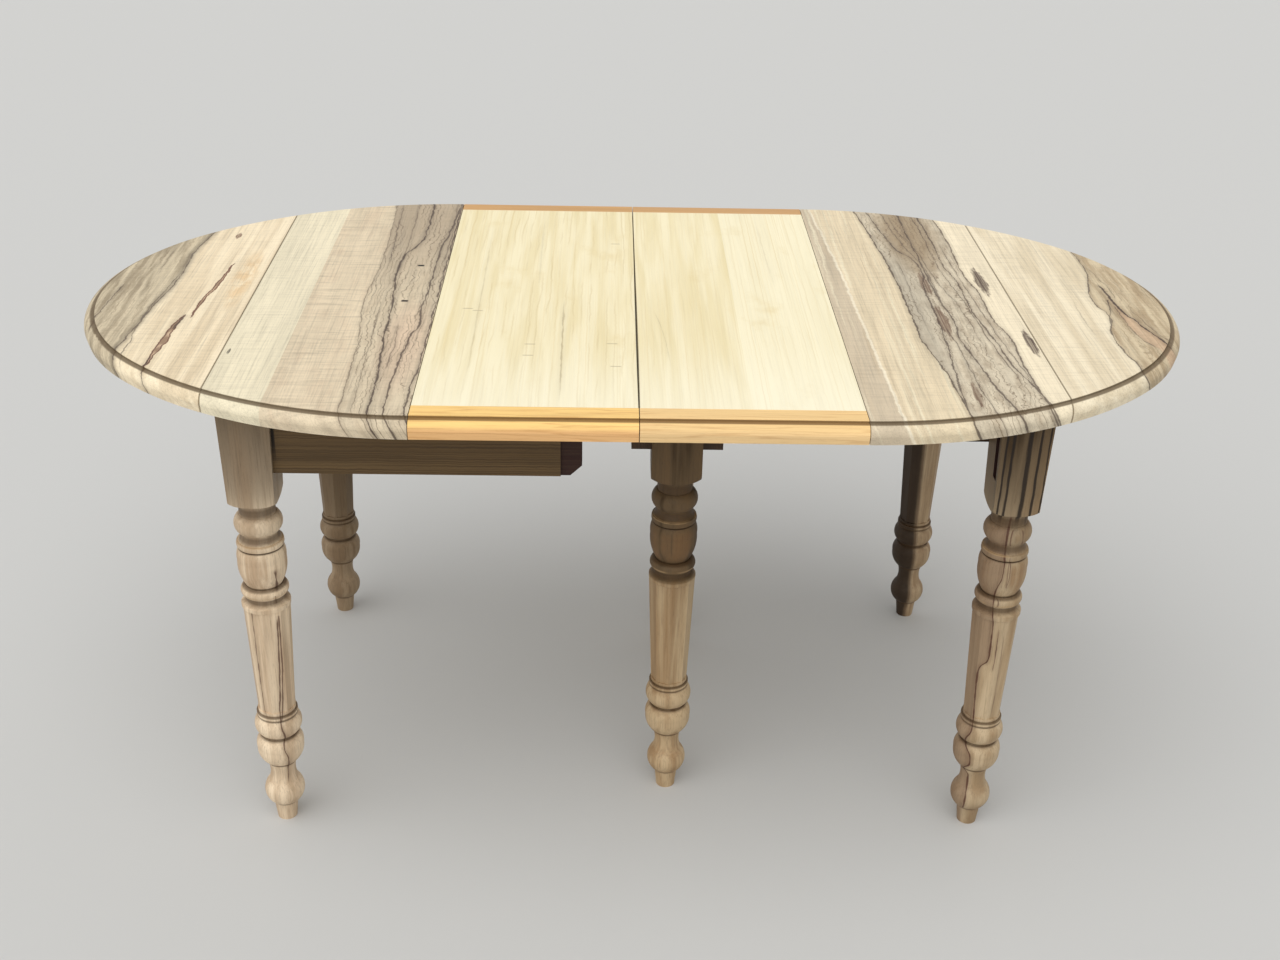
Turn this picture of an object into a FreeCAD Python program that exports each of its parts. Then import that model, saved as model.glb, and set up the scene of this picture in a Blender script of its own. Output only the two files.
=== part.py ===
import FreeCAD, Part
import Sketcher
import math
import os

# An oval extending table: two half tops on turned legs slide on a centre carriage, two loose leaves lie
# between them, and a D-shaped flap drops at each end. X runs along the table, -Y is the front, Z is up,
# and the origin is on the floor under the middle seam. Each half is drawn from its leaf seam outward.

# Driving dimensions in millimetres, and plain numbers for shares and counts
SIZES = {
    # Top
    "top_height": 745,
    "top_thickness": 28,
    "closed_length": 1036,
    "closed_width": 900,
    "end_arc_share": 0.77,
    "half_reach": 277,
    "flap_gap": 0.8,
    "thumb_radius": 13,
    "thumb_undercut": 2.75,
    "quirk_depth": 3,
    "quirk_inset": 16,
    "left_inner_board": 103,
    "left_middle_board": 89,
    "right_inner_board": 44,
    "right_middle_board": 90,
    "flap_outer_board": 110.5,
    # Loose leaves
    "leaf_width": 293.3,
    "leaf_gap": 1,
    "middle_gap": 1.2,
    "leaf_seat_gap": 0.2,
    "leaf_board": 146,
    "strip_width": 46,
    "batten_inset": 18,
    "batten_from_middle": 60,
    "batten_width": 40,
    "batten_thickness": 18,
    # Places of the corner legs, and the square block at the head of every leg
    "leg_from_seam": 234,
    "leg_from_middle": 301,
    "block_width": 72,
    "block_low_width": 64,
    "pommel_radius": 22,
    "pommel_overcut": 3,
    "block_below_rail": 53,
    # Turned elements from the sole upward
    "foot_height": 32,
    "foot_sole_radius": 14.5,
    "foot_top_radius": 18,
    "toe_height": 41,
    "toe_low_radius": 20,
    "toe_swell": 8.8,
    "waist_height": 34,
    "waist_radius": 22,
    "waist_hollow": 3.2,
    "ball_low_height": 29,
    "ball_low_swell": 4,
    "ball_radius": 34.5,
    "ball_top_height": 20,
    "ball_top_swell": 3,
    "ball_top_radius": 27.5,
    "collar_groove": 4,
    "collar_groove_radius": 25.5,
    "collar_height": 33,
    "collar_radius": 27,
    "collar_swell": 7.8,
    "collar_fillet_height": 7,
    "collar_fillet_radius": 30,
    "shaft_low_radius": 27.5,
    "shaft_top_radius": 35,
    "shaft_shoulder": 4,
    "ring_groove": 8,
    "ring_radius": 27.5,
    "ring_height": 17,
    "ring_swell": 6.5,
    "vase_low_radius": 25,
    "vase_low_height": 42,
    "vase_low_swell": 3.5,
    "vase_radius": 34.5,
    "vase_top_height": 19,
    "vase_top_swell": 1.5,
    "vase_top_radius": 31.5,
    "quirk_ring_height": 2,
    "quirk_ring_radius": 29.5,
    "fillet_height": 9,
    "fillet_radius": 32.5,
    "fillet_swell": 1,
    "cove_height": 13,
    "cove_low_radius": 31,
    "cove_hollow": 2,
    "bead_radius": 26.5,
    "bead_height": 29,
    "bead_swell": 7.5,
    "neck_groove": 10,
    "neck_groove_radius": 25.5,
    "neck_height": 11,
    "neck_radius": 29,
    "facet_count": 8,
    "facet_share": 0.915,
    "facet_margin": 6,
    # Rails and bearer of a half
    "rail_height": 111,
    "rail_thickness": 22,
    "side_rail_length": 388,
    "side_rail_setback": 9,
    "end_rail_setback": 8,
    "tenon_depth": 25,
    "tenon_thickness": 10,
    "tenon_shoulder": 16,
    "tongue_length": 29,
    "tongue_setback": 3.5,
    "tongue_thickness": 14,
    "tongue_top_shoulder": 6,
    "tongue_chamfer_run": 16,
    "tongue_chamfer_rise": 15,
    "tongue_clearance": 1,
    "bearer_height": 82,
    "bearer_thickness": 20,
    "bearer_leg_gap": 1,
    "bearer_inset": 8,
    # Centre carriage and slides
    "carriage_offset": 59,
    "carriage_leg_from_middle": 216,
    "rear_leg_shift": 22,
    "plank_width": 130,
    "plank_length": 482,
    "plank_thickness": 28,
    "bar_thickness": 30,
    "bar_from_middle": 124,
    "bar_play": 0.5,
    "bar_length": 468,
    "centre_bar_length": 456,
    "dovetail_depth": 8.5,
    "dovetail_neck": 16,
    "dovetail_flare": 3,
    "dovetail_drop": 31,
    "dovetail_play": 0.4,
    "peg_diameter": 8,
    "peg_reach": 6,
    "peg_root": 12,
    "peg_from_end": 15,
    "peg_drop": 66,
    "stop_slot_height": 9,
    "stop_slot_depth": 7,
    "stop_slot_free_end": 40,
    "stop_slot_fixed_end": 20,
    # Lopers
    "loper_width": 60,
    "loper_height": 34,
    "loper_length": 245,
    "loper_proud": 2,
    "loper_play": 0.3,
    "loper_edge_round": 5,
    "guide_length": 40,
    "guide_wall": 12,
    "guide_from_rail": 15,
    "loper_peg_diameter": 10,
    "loper_peg_reach": 8,
    "loper_peg_inset": 8,
    # Flap hinges
    "hinge_from_middle": 195,
    "hinge_length": 60,
    "hinge_plate_width": 34,
    "hinge_plate_thickness": 2,
    "knuckle_radius": 3.2,
    "knuckle_recess": 0.5,
    "knuckle_gap": 0.4,
    "pin_radius": 1.6,
    "pin_play": 0.05,
}

doc = FreeCAD.newDocument("OvalExtendingTable")
sheet = doc.addObject("Spreadsheet::Sheet", "Sizes")
for row, (alias, number) in enumerate(SIZES.items(), start=1):
    sheet.set(f"A{row}", alias)
    sheet.set(f"B{row}", str(number))
    sheet.setAlias(f"B{row}", alias)
doc.recompute()

UP = FreeCAD.Vector(0, 0, 1)
ALONG_Y = FreeCAD.Vector(0, 1, 0)
HALF_TURN = FreeCAD.Rotation(UP, 180)
SIDES = ("left", "right")


class Size:
    """A length that carries its number and the sheet expression that gives it."""

    def __init__(self, number, text):
        self.number = number
        self.text = text

    def __add__(self, other):
        other = as_size(other)
        return Size(self.number + other.number, f"({self.text} + {other.text})")

    def __radd__(self, other):
        return as_size(other) + self

    def __sub__(self, other):
        other = as_size(other)
        return Size(self.number - other.number, f"({self.text} - {other.text})")

    def __rsub__(self, other):
        return as_size(other) - self

    def __mul__(self, other):
        other = as_size(other)
        return Size(self.number * other.number, f"({self.text} * {other.text})")

    def __rmul__(self, other):
        return as_size(other) * self

    def __truediv__(self, other):
        other = as_size(other)
        return Size(self.number / other.number, f"({self.text} / {other.text})")

    def __neg__(self):
        return 0 - self


def as_size(thing):
    """A Size for a Size or a plain number."""
    if isinstance(thing, Size):
        return thing
    return Size(thing, repr(thing))


def of(alias):
    """The Size that a sheet cell holds."""
    return Size(float(sheet.get(alias)), f"Sizes.{alias}")


def bind(thing, prop, size):
    """Tie a property to the sheet."""
    thing.setExpression(prop, as_size(size).text)


# Heights and places that several pieces share
UNDERSIDE = of("top_height") - of("top_thickness")
LEAF_UNDERSIDE = UNDERSIDE + of("leaf_seat_gap")
RAIL_BOTTOM = UNDERSIDE - of("rail_height")
PLANK_TOP = RAIL_BOTTOM + of("plank_thickness")
TURNED_HEIGHT = RAIL_BOTTOM - of("block_below_rail")
BLOCK_HALF = of("block_width") / 2
LEG_INNER_X = of("leg_from_seam") - BLOCK_HALF
LEG_INNER_Y = of("leg_from_middle") - BLOCK_HALF
END_RAIL_OUT = of("leg_from_seam") + BLOCK_HALF - of("end_rail_setback")
END_RAIL_IN = END_RAIL_OUT - of("rail_thickness")
END_TENON = END_RAIL_IN + (of("rail_thickness") - of("tenon_thickness")) / 2
SIDE_RAIL_FACE = of("leg_from_middle") + BLOCK_HALF - of("side_rail_setback")
SIDE_RAIL_BACK = SIDE_RAIL_FACE - of("rail_thickness")
SIDE_TENON = SIDE_RAIL_BACK + (of("rail_thickness") - of("tenon_thickness")) / 2
SIDE_RAIL_END = LEG_INNER_X - of("side_rail_length")
TONGUE_FACE = SIDE_RAIL_FACE - of("tongue_setback")
TENON_LOW = RAIL_BOTTOM + of("tenon_shoulder")
TENON_HIGH = UNDERSIDE - of("tenon_shoulder")
INNER_BAR = of("bar_from_middle")
CENTRE_BAR = INNER_BAR + of("bar_thickness") + of("bar_play")
OUTER_BAR = CENTRE_BAR + of("bar_thickness") + of("bar_play")
BAR_BOTTOM = PLANK_TOP + of("bar_play")
BAR_FREE_END = END_RAIL_IN - of("bar_length")
DOVETAIL_HEIGHT = UNDERSIDE - of("dovetail_drop")
PEG_HEIGHT = UNDERSIDE - of("peg_drop")
LOPER_HALF = of("loper_width") / 2
NOTCH_HALF = LOPER_HALF + of("loper_play")
LOPER_BOTTOM = UNDERSIDE - of("loper_play") - of("loper_height")
NOTCH_BOTTOM = LOPER_BOTTOM - of("loper_play")
LOPER_OUT = END_RAIL_OUT + of("loper_proud")
LOPER_IN = LOPER_OUT - of("loper_length")
FLAP_SEAM = of("half_reach")

# The block narrows downward, so a rail's shoulder leans out by this much at its lower edge
BLOCK_LEAN = (of("block_width") - of("block_low_width")) / 2
TAPER_HEIGHT = UNDERSIDE - TURNED_HEIGHT + of("pommel_overcut")
SHOULDER_LEAN = BLOCK_LEAN * of("rail_height") / TAPER_HEIGHT

# The oval: end arcs on the long axis run tangent into side arcs, on the line through the two centres
HALF_LENGTH = of("closed_length") / 2
HALF_WIDTH = of("closed_width") / 2
END_RADIUS = HALF_WIDTH - of("end_arc_share") * (HALF_LENGTH - HALF_WIDTH)
AXES_SQUARED = HALF_LENGTH * HALF_LENGTH + HALF_WIDTH * HALF_WIDTH
SIDE_RADIUS = (AXES_SQUARED - 2 * HALF_LENGTH * END_RADIUS) / (2 * (HALF_WIDTH - END_RADIUS))
END_CENTRE = HALF_LENGTH - END_RADIUS
SIDE_CENTRE = SIDE_RADIUS - HALF_WIDTH
MEET_RUN = END_CENTRE * END_RADIUS / (SIDE_RADIUS - END_RADIUS)
MEET_RISE = SIDE_CENTRE * END_RADIUS / (SIDE_RADIUS - END_RADIUS)

# The thumb moulding of the edge
THUMB_HEIGHT = of("top_height") - of("quirk_depth") - of("thumb_radius")
QUIRK_FLOOR = of("top_height") - of("quirk_depth")


# Sketches and features

def arc_through(start, end, swell):
    """An arc of under half a circle between two points, swelling to the right, or left if negative."""
    run = FreeCAD.Vector(end[0].number - start[0].number, end[1].number - start[1].number, 0)
    middle = FreeCAD.Vector((end[0].number + start[0].number) / 2, (end[1].number + start[1].number) / 2, 0)
    outward = FreeCAD.Vector(run.y, -run.x, 0).normalize() * swell.number
    first = FreeCAD.Vector(start[0].number, start[1].number, 0)
    last = FreeCAD.Vector(end[0].number, end[1].number, 0)
    if swell.number > 0:
        return Part.Arc(first, middle + outward, last)
    return Part.Arc(last, middle + outward, first)


def arc_radius(start, end, swell):
    """The radius of an arc with these ends and this swell."""
    along = end[0] - start[0]
    across = end[1] - start[1]
    chord_squared = along * along + across * across
    return (chord_squared / 4 + swell * swell) / (2 * swell)


def draw(sketch, points, swells=None):
    """Draw a closed outline through points, fix its corners to the sheet, and round edges with a swell."""
    swells = swells or {}
    starts = []
    ends = []
    for index, start in enumerate(points):
        end = points[(index + 1) % len(points)]
        swell = swells.get(index)
        if swell is None:
            first = FreeCAD.Vector(start[0].number, start[1].number, 0)
            last = FreeCAD.Vector(end[0].number, end[1].number, 0)
            edge = sketch.addGeometry(Part.LineSegment(first, last))
            starts.append((edge, 1))
            ends.append((edge, 2))
            continue
        edge = sketch.addGeometry(arc_through(start, end, swell))
        forward = swell.number > 0
        starts.append((edge, 1 if forward else 2))
        ends.append((edge, 2 if forward else 1))
        radius = arc_radius(start, end, swell if forward else -swell)
        rule = sketch.addConstraint(Sketcher.Constraint("Radius", edge, radius.number))
        bind(sketch, f"Constraints[{rule}]", radius)
    for index, (edge, tip) in enumerate(starts):
        before = ends[index - 1]
        sketch.addConstraint(Sketcher.Constraint("Coincident", before[0], before[1], edge, tip))
        for kind, axis, place in (("DistanceX", -2, points[index][0]), ("DistanceY", -1, points[index][1])):
            if place.number == 0:
                sketch.addConstraint(Sketcher.Constraint("PointOnObject", edge, tip, axis))
                continue
            rule = sketch.addConstraint(Sketcher.Constraint(kind, -1, 1, edge, tip, place.number))
            bind(sketch, f"Constraints[{rule}]", place)


def sized(points):
    """The points with every coordinate as a Size."""
    return [(as_size(across), as_size(along)) for across, along in points]


def body_sketch(body, name, plane, offset, points, swells=None, turn=0):
    """A closed sketch on one of the body's own planes, moved along the plane's normal and turned about Z."""
    sketch = body.newObject("Sketcher::SketchObject", name)
    role = f"{plane}_Plane"
    support = [feature for feature in body.Origin.OriginFeatures if feature.Role == role][0]
    sketch.AttachmentSupport = (support, "")
    sketch.MapMode = "FlatFace"
    sketch.AttachmentOffset = FreeCAD.Placement(FreeCAD.Vector(), FreeCAD.Rotation(ALONG_Y, turn))
    bind(sketch, "AttachmentOffset.Base.z", offset)
    draw(sketch, sized(points), swells)
    return sketch


def new_body(label):
    """An empty body with the name of its piece."""
    return doc.addObject("PartDesign::Body", f"{label}_body")


def pad(body, name, plane, offset, points, length, swells=None):
    """Add material from an outline along its plane's normal: +X for YZ, -Y for XZ, +Z for XY."""
    outline = body_sketch(body, f"{name}_outline", plane, offset, points, swells)
    feature = body.newObject("PartDesign::Pad", name)
    feature.Profile = outline
    bind(feature, "Length", length)
    return feature


def pocket(body, name, plane, offset, points, length):
    """Take material away from an outline along its plane's normal."""
    outline = body_sketch(body, f"{name}_outline", plane, offset, points)
    feature = body.newObject("PartDesign::Pocket", name)
    feature.Profile = outline
    feature.Reversed = True
    bind(feature, "Length", length)
    return feature


def rectangle(low_x, high_x, low_y, high_y):
    """The corners of a rectangle."""
    return [(low_x, low_y), (high_x, low_y), (high_x, high_y), (low_x, high_y)]


def box(label, x_range, y_range, z_range):
    """A box between two places on each axis."""
    solid = doc.addObject("Part::Box", label)
    for side, axis, (low, high) in zip(("Length", "Width", "Height"), "xyz", (x_range, y_range, z_range)):
        bind(solid, side, high - low)
        bind(solid, f"Placement.Base.{axis}", low)
    return solid


def rod(label, radius, length, place, direction=ALONG_Y):
    """A round rod that starts at a place and runs along Y, or along another direction."""
    solid = doc.addObject("Part::Cylinder", label)
    bind(solid, "Radius", radius)
    bind(solid, "Height", length)
    solid.Placement = FreeCAD.Placement(FreeCAD.Vector(), FreeCAD.Rotation(UP, direction))
    for axis, number in zip("xyz", place):
        bind(solid, f"Placement.Base.{axis}", number)
    return solid


def join(kind, label, shapes):
    """A union or an overlap of several shapes: kind is Fuse or Common."""
    result = doc.addObject(f"Part::Multi{kind}", label)
    result.Shapes = shapes
    result.Refine = True
    return result


def cut(label, base, tool):
    """A shape with a tool taken out of it."""
    result = doc.addObject("Part::Cut", label)
    result.Base = base
    result.Tool = tool
    return result


def group(label, solids):
    """Several separate solids under one name."""
    result = doc.addObject("Part::Compound", label)
    result.Links = solids
    return result


pieces = []


def keep(piece, label):
    """Name a finished piece and list it for export."""
    piece.Label = label
    pieces.append(piece)
    return piece


def seat(piece, side, label):
    """Put a piece that was drawn from the leaf seam outward on its half, the left one turned half round."""
    if side == "left":
        piece.Placement = FreeCAD.Placement(FreeCAD.Vector(), HALF_TURN)
        bind(piece, "Placement.Base.x", -of("leaf_width"))
    else:
        bind(piece, "Placement.Base.x", of("leaf_width"))
    return keep(piece, label)


def local_end(side, rear):
    """The word for the local rear or front of a half, which change places on the turned half."""
    return "rear" if rear == (side == "right") else "front"


# Moulded top

def edge_profile(reach, low):
    """The moulded edge from the underside up: undercut, thumb round and quirk."""
    thumb = of("thumb_radius")
    return [
        (reach - of("thumb_undercut"), low),
        (reach, THUMB_HEIGHT),
        (reach - thumb, QUIRK_FLOOR),
        (reach - of("quirk_inset"), QUIRK_FLOOR),
        (reach - of("quirk_inset"), of("top_height")),
    ]


# A quarter round's swell as a share of its radius, and half a turn in degrees
QUARTER_SWELL = 1 - math.sqrt(0.5)
THUMB_SWELL = of("thumb_radius") * QUARTER_SWELL
HALF_ROUND = 180


def moulded_disc(label, radius, centre_x, centre_y):
    """A round slab with the moulded edge, as large as one arc of the oval."""
    body = new_body(label)
    points = [(as_size(0), UNDERSIDE)] + edge_profile(radius, UNDERSIDE) + [(as_size(0), of("top_height"))]
    sketch = body_sketch(body, f"{label}_section", "XZ", as_size(0), points, {2: THUMB_SWELL})
    turned = body.newObject("PartDesign::Revolution", f"{label}_turned")
    turned.Profile = sketch
    turned.ReferenceAxis = (sketch, ["V_Axis"])
    turned.Angle = 360
    bind(body, "Placement.Base.x", centre_x)
    bind(body, "Placement.Base.y", centre_y)
    return body


SLAB_HEIGHT = (UNDERSIDE - of("top_thickness"), of("top_height") + of("top_thickness"))


def moulded_oval():
    """Half of the moulded oval: a front and a rear flank, and the end arc's sector between them."""
    along = (as_size(0), of("closed_length"))
    flanks = []
    for end, centre, across in (
            ("front", SIDE_CENTRE, (-of("closed_width"), as_size(0))),
            ("rear", -SIDE_CENTRE, (as_size(0), of("closed_width")))):
        disc = moulded_disc(f"{end}_disc", SIDE_RADIUS, as_size(0), centre)
        strip = box(f"{end}_flank_strip", along, across, SLAB_HEIGHT)
        flanks.append(join("Common", f"{end}_flank", [disc, strip]))
    end_disc = moulded_disc("end_disc", END_RADIUS, END_CENTRE, as_size(0))
    sector = new_body("end_sector")
    outer = END_CENTRE + 2 * MEET_RUN
    corners = [(END_CENTRE, 0), (outer, -2 * MEET_RISE), (outer, 2 * MEET_RISE)]
    pad(sector, "end_sector_slab", "XY", SLAB_HEIGHT[0], corners, SLAB_HEIGHT[1] - SLAB_HEIGHT[0])
    flank_pair = cut("flanks_beside_sector", join("Fuse", "flank_pair", flanks), sector)
    return join("Fuse", "moulded_oval", [flank_pair, join("Common", "end_arc", [end_disc, sector])])


oval = moulded_oval()


def board(label, start, end):
    """A board across the top, cut out of the moulded oval between two lines."""
    slab = box(f"{label}_strip", (start, end), (-of("closed_width"), of("closed_width")), SLAB_HEIGHT)
    return join("Common", f"{label}_blank", [slab, oval])


def hinge_recess(label):
    """What is let into the underside for both hinges of a flap: plates and knuckles."""
    shapes = []
    reach = of("hinge_plate_width") + of("knuckle_radius") + of("knuckle_recess")
    for name, middle in (("near", -of("hinge_from_middle")), ("far", of("hinge_from_middle"))):
        low = middle - of("hinge_length") / 2
        plate_height = (UNDERSIDE - of("hinge_plate_thickness"), UNDERSIDE + of("hinge_plate_thickness"))
        across = (FLAP_SEAM - reach, FLAP_SEAM + reach)
        shapes.append(box(f"{label}_{name}_plate", across, (low, low + of("hinge_length")), plate_height))
        radius = of("knuckle_radius") + of("knuckle_recess")
        length = of("hinge_length")
        shapes.append(rod(f"{label}_{name}_knuckle", radius, length, (FLAP_SEAM, low, UNDERSIDE)))
    return join("Fuse", label, shapes)


def make_tops(side):
    """The boards of a half top and of its flap."""
    first = of(f"{side}_inner_board")
    second = first + of(f"{side}_middle_board")
    tip = HALF_LENGTH - of("flap_outer_board")
    fixed_edge = FLAP_SEAM - of("flap_gap") / 2
    flap_edge = FLAP_SEAM + of("flap_gap") / 2
    seat(board(f"{side}_inner", of("leaf_gap") / 2, first), side, f"{side}_top_board_inner")
    seat(board(f"{side}_middle", first, second), side, f"{side}_top_board_middle")
    recess = hinge_recess(f"{side}_hinge_recess")
    outer = cut(f"{side}_outer", board(f"{side}_outer_strip", second, fixed_edge), recess)
    seat(outer, side, f"{side}_top_board_outer")
    flap = cut(f"{side}_flap", board(f"{side}_flap_strip", flap_edge, tip), recess)
    seat(flap, side, f"{side}_flap_board_inner")
    seat(board(f"{side}_tip", tip, of("closed_length")), side, f"{side}_flap_board_outer")


# Turned legs

def turned_elements():
    """The turning below, at and above the shaft: each element's height, lower and upper radius, and swell."""
    below = [
        (of("foot_height"), of("foot_sole_radius"), of("foot_top_radius"), None),
        (of("toe_height"), of("toe_low_radius"), of("waist_radius"), of("toe_swell")),
        (of("waist_height"), of("waist_radius"), of("waist_radius"), -of("waist_hollow")),
        (of("ball_low_height"), of("waist_radius"), of("ball_radius"), of("ball_low_swell")),
        (of("ball_top_height"), of("ball_radius"), of("ball_top_radius"), of("ball_top_swell")),
        (of("collar_groove"), of("collar_groove_radius"), of("collar_groove_radius"), None),
        (of("collar_height"), of("collar_radius"), of("collar_radius"), of("collar_swell")),
        (of("collar_fillet_height"), of("collar_fillet_radius"), of("collar_fillet_radius"), None),
    ]
    above = [
        (of("shaft_shoulder"), of("shaft_top_radius"), of("ring_radius"), None),
        (of("ring_groove"), of("ring_radius"), of("ring_radius"), None),
        (of("ring_height"), of("ring_radius"), of("ring_radius"), of("ring_swell")),
        (of("vase_low_height"), of("vase_low_radius"), of("vase_radius"), of("vase_low_swell")),
        (of("vase_top_height"), of("vase_radius"), of("vase_top_radius"), of("vase_top_swell")),
        (of("quirk_ring_height"), of("quirk_ring_radius"), of("quirk_ring_radius"), None),
        (of("fillet_height"), of("fillet_radius"), of("fillet_radius"), of("fillet_swell")),
        (of("cove_height"), of("cove_low_radius"), of("bead_radius"), -of("cove_hollow")),
        (of("bead_height"), of("bead_radius"), of("bead_radius"), of("bead_swell")),
        (of("neck_groove"), of("neck_groove_radius"), of("neck_groove_radius"), None),
        (of("neck_height"), of("neck_groove_radius"), of("neck_radius"), None),
    ]
    shaft_height = TURNED_HEIGHT
    for element in below + above:
        shaft_height = shaft_height - element[0]
    shaft = (shaft_height, of("shaft_low_radius"), of("shaft_top_radius"), None)
    return below, shaft, above


def leg_outline():
    """The outline of the turning, from the axis at the sole out, up and back, and its edges' swells."""
    points = [(as_size(0), as_size(0))]
    swells = {}
    height = as_size(0)
    below, shaft, above = turned_elements()
    for rise, low, high, swell in below + [shaft] + above:
        if points[-1][0].text != low.text:
            points.append((low, height))
        if swell is not None:
            swells[len(points) - 1] = swell
        height = height + rise
        points.append((high, height))
    points.append((of("neck_radius"), height + of("pommel_radius")))
    points.append((as_size(0), height + of("pommel_radius")))
    return points, swells


def shaft_facet():
    """What one facet takes off the shaft, seen from the side: the wedge outside a leaning line."""
    below, shaft, above = turned_elements()
    shaft_height = shaft[0]
    low = sum([element[0] for element in below], of("facet_margin"))
    high = low + shaft_height - 2 * of("facet_margin")
    margin_share = of("facet_margin") / shaft_height
    spread = of("shaft_top_radius") - of("shaft_low_radius")
    low_flat = of("facet_share") * (of("shaft_low_radius") + spread * margin_share)
    high_flat = of("facet_share") * (of("shaft_top_radius") - spread * margin_share)
    return [(low_flat, low), (2 * low_flat, low), (2 * high_flat, high), (high_flat, high)]


def square(width):
    """A square about the axis."""
    return rectangle(-width / 2, width / 2, -width / 2, width / 2)


def leg_body(label, head, low_width):
    """A turned leg with an eight-sided shaft under a square block that is rounded down to the neck."""
    body = new_body(label)
    neck = of("neck_radius")
    block_bottom = TURNED_HEIGHT
    trim = of("pommel_overcut")
    points, swells = leg_outline()
    section = body_sketch(body, f"{label}_section", "XZ", as_size(0), points, swells)
    turning = body.newObject("PartDesign::Revolution", f"{label}_turning")
    turning.Profile = section
    turning.ReferenceAxis = (section, ["V_Axis"])
    turning.Angle = 360
    lower = body_sketch(body, f"{label}_block_low", "XY", block_bottom - trim, square(low_width))
    upper = body_sketch(body, f"{label}_block_top", "XY", head, square(of("block_width")))
    block = body.newObject("PartDesign::AdditiveLoft", f"{label}_block")
    block.Profile = lower
    block.Sections = [upper]
    block.Ruled = True
    reach = neck + of("pommel_radius")
    shoulder = [
        (neck, block_bottom),
        (reach, block_bottom + of("pommel_radius")),
        (2 * reach, block_bottom + of("pommel_radius")),
        (2 * reach, block_bottom - 2 * trim),
        (neck, block_bottom - 2 * trim),
    ]
    pommel_swell = of("pommel_radius") * QUARTER_SWELL
    profile = body_sketch(body, f"{label}_pommel_section", "XZ", as_size(0), shoulder, {0: pommel_swell})
    pommel = body.newObject("PartDesign::Groove", f"{label}_pommel")
    pommel.Profile = profile
    pommel.ReferenceAxis = (profile, ["V_Axis"])
    pommel.Angle = 360
    half_facet = HALF_ROUND / of("facet_count").number
    wedge = body_sketch(body, f"{label}_facet_side", "XZ", as_size(0), shaft_facet(), None, half_facet)
    facet = body.newObject("PartDesign::Pocket", f"{label}_facet")
    facet.Profile = wedge
    facet.Midplane = True
    bind(facet, "Length", 2 * of("shaft_top_radius"))
    facets = body.newObject("PartDesign::PolarPattern", f"{label}_facets")
    facets.Originals = [facet]
    facets.Axis = ([feature for feature in body.Origin.OriginFeatures if feature.Role == "Z_Axis"][0], [""])
    facets.Angle = 360
    bind(facets, "Occurrences", of("facet_count"))
    body.Tip = facets
    return body


def corner_leg(side, rear):
    """A corner leg with the end rail's mortise, and the side rail's mortise or the tongue's slot."""
    end = local_end(side, rear)
    label = f"{side}_{end}_leg"
    body = leg_body(label, UNDERSIDE, of("block_low_width"))
    mortise_x = END_TENON - of("leg_from_seam")
    mortise = rectangle(mortise_x, mortise_x + of("tenon_thickness"), TENON_LOW, TENON_HIGH)
    start = BLOCK_HALF - of("tenon_depth") if rear else -of("block_width")
    pocket(body, f"{label}_end_mortise", "XZ", start, mortise, BLOCK_HALF + of("tenon_depth"))
    if rear:
        low = SIDE_TENON - of("leg_from_middle")
        opening = rectangle(low, low + of("tenon_thickness"), TENON_LOW, TENON_HIGH)
        depth = of("tenon_depth")
    else:
        clearance = of("tongue_clearance")
        low = of("leg_from_middle") - TONGUE_FACE - clearance
        high = low + of("tongue_thickness") + 2 * clearance
        opening = rectangle(low, high, RAIL_BOTTOM - clearance, UNDERSIDE + clearance)
        depth = of("tongue_length") - SIDE_RAIL_END - LEG_INNER_X + clearance
    pocket(body, f"{label}_side_mortise", "YZ", -of("block_width"), opening, BLOCK_HALF + depth)
    across = of("leg_from_middle") if rear else -of("leg_from_middle")
    if side == "left":
        body.Placement = FreeCAD.Placement(FreeCAD.Vector(), HALF_TURN)
        bind(body, "Placement.Base.x", -(of("leaf_width") + of("leg_from_seam")))
        bind(body, "Placement.Base.y", -across)
    else:
        bind(body, "Placement.Base.x", of("leaf_width") + of("leg_from_seam"))
        bind(body, "Placement.Base.y", across)
    keep(body, label)


# Rails and bearer

def side_rail(side):
    """The long rail of a half: a tenon in its own leg, a chamfered tongue for the other half's leg."""
    label = f"{side}_side_rail"
    body = new_body(label)
    face = [
        (LEG_INNER_X, UNDERSIDE),
        (LEG_INNER_X + SHOULDER_LEAN, RAIL_BOTTOM),
        (SIDE_RAIL_END, RAIL_BOTTOM),
        (SIDE_RAIL_END, UNDERSIDE),
    ]
    pad(body, f"{label}_board", "XZ", -SIDE_RAIL_FACE, face, of("rail_thickness"))
    tip = SIDE_RAIL_END - of("tongue_length")
    tongue = [
        (SIDE_RAIL_END, UNDERSIDE - of("tongue_top_shoulder")),
        (tip, UNDERSIDE - of("tongue_top_shoulder")),
        (tip, RAIL_BOTTOM + of("tongue_chamfer_rise")),
        (tip + of("tongue_chamfer_run"), RAIL_BOTTOM),
        (SIDE_RAIL_END, RAIL_BOTTOM),
    ]
    pad(body, f"{label}_tongue", "XZ", -TONGUE_FACE, tongue, of("tongue_thickness"))
    root = LEG_INNER_X - of("tenon_depth")
    tenon = rectangle(root, LEG_INNER_X + of("tenon_depth"), TENON_LOW, TENON_HIGH)
    tenon_face = SIDE_TENON + of("tenon_thickness")
    pad(body, f"{label}_tenon", "XZ", -tenon_face, tenon, of("tenon_thickness"))
    seat(body, side, label)


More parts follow.
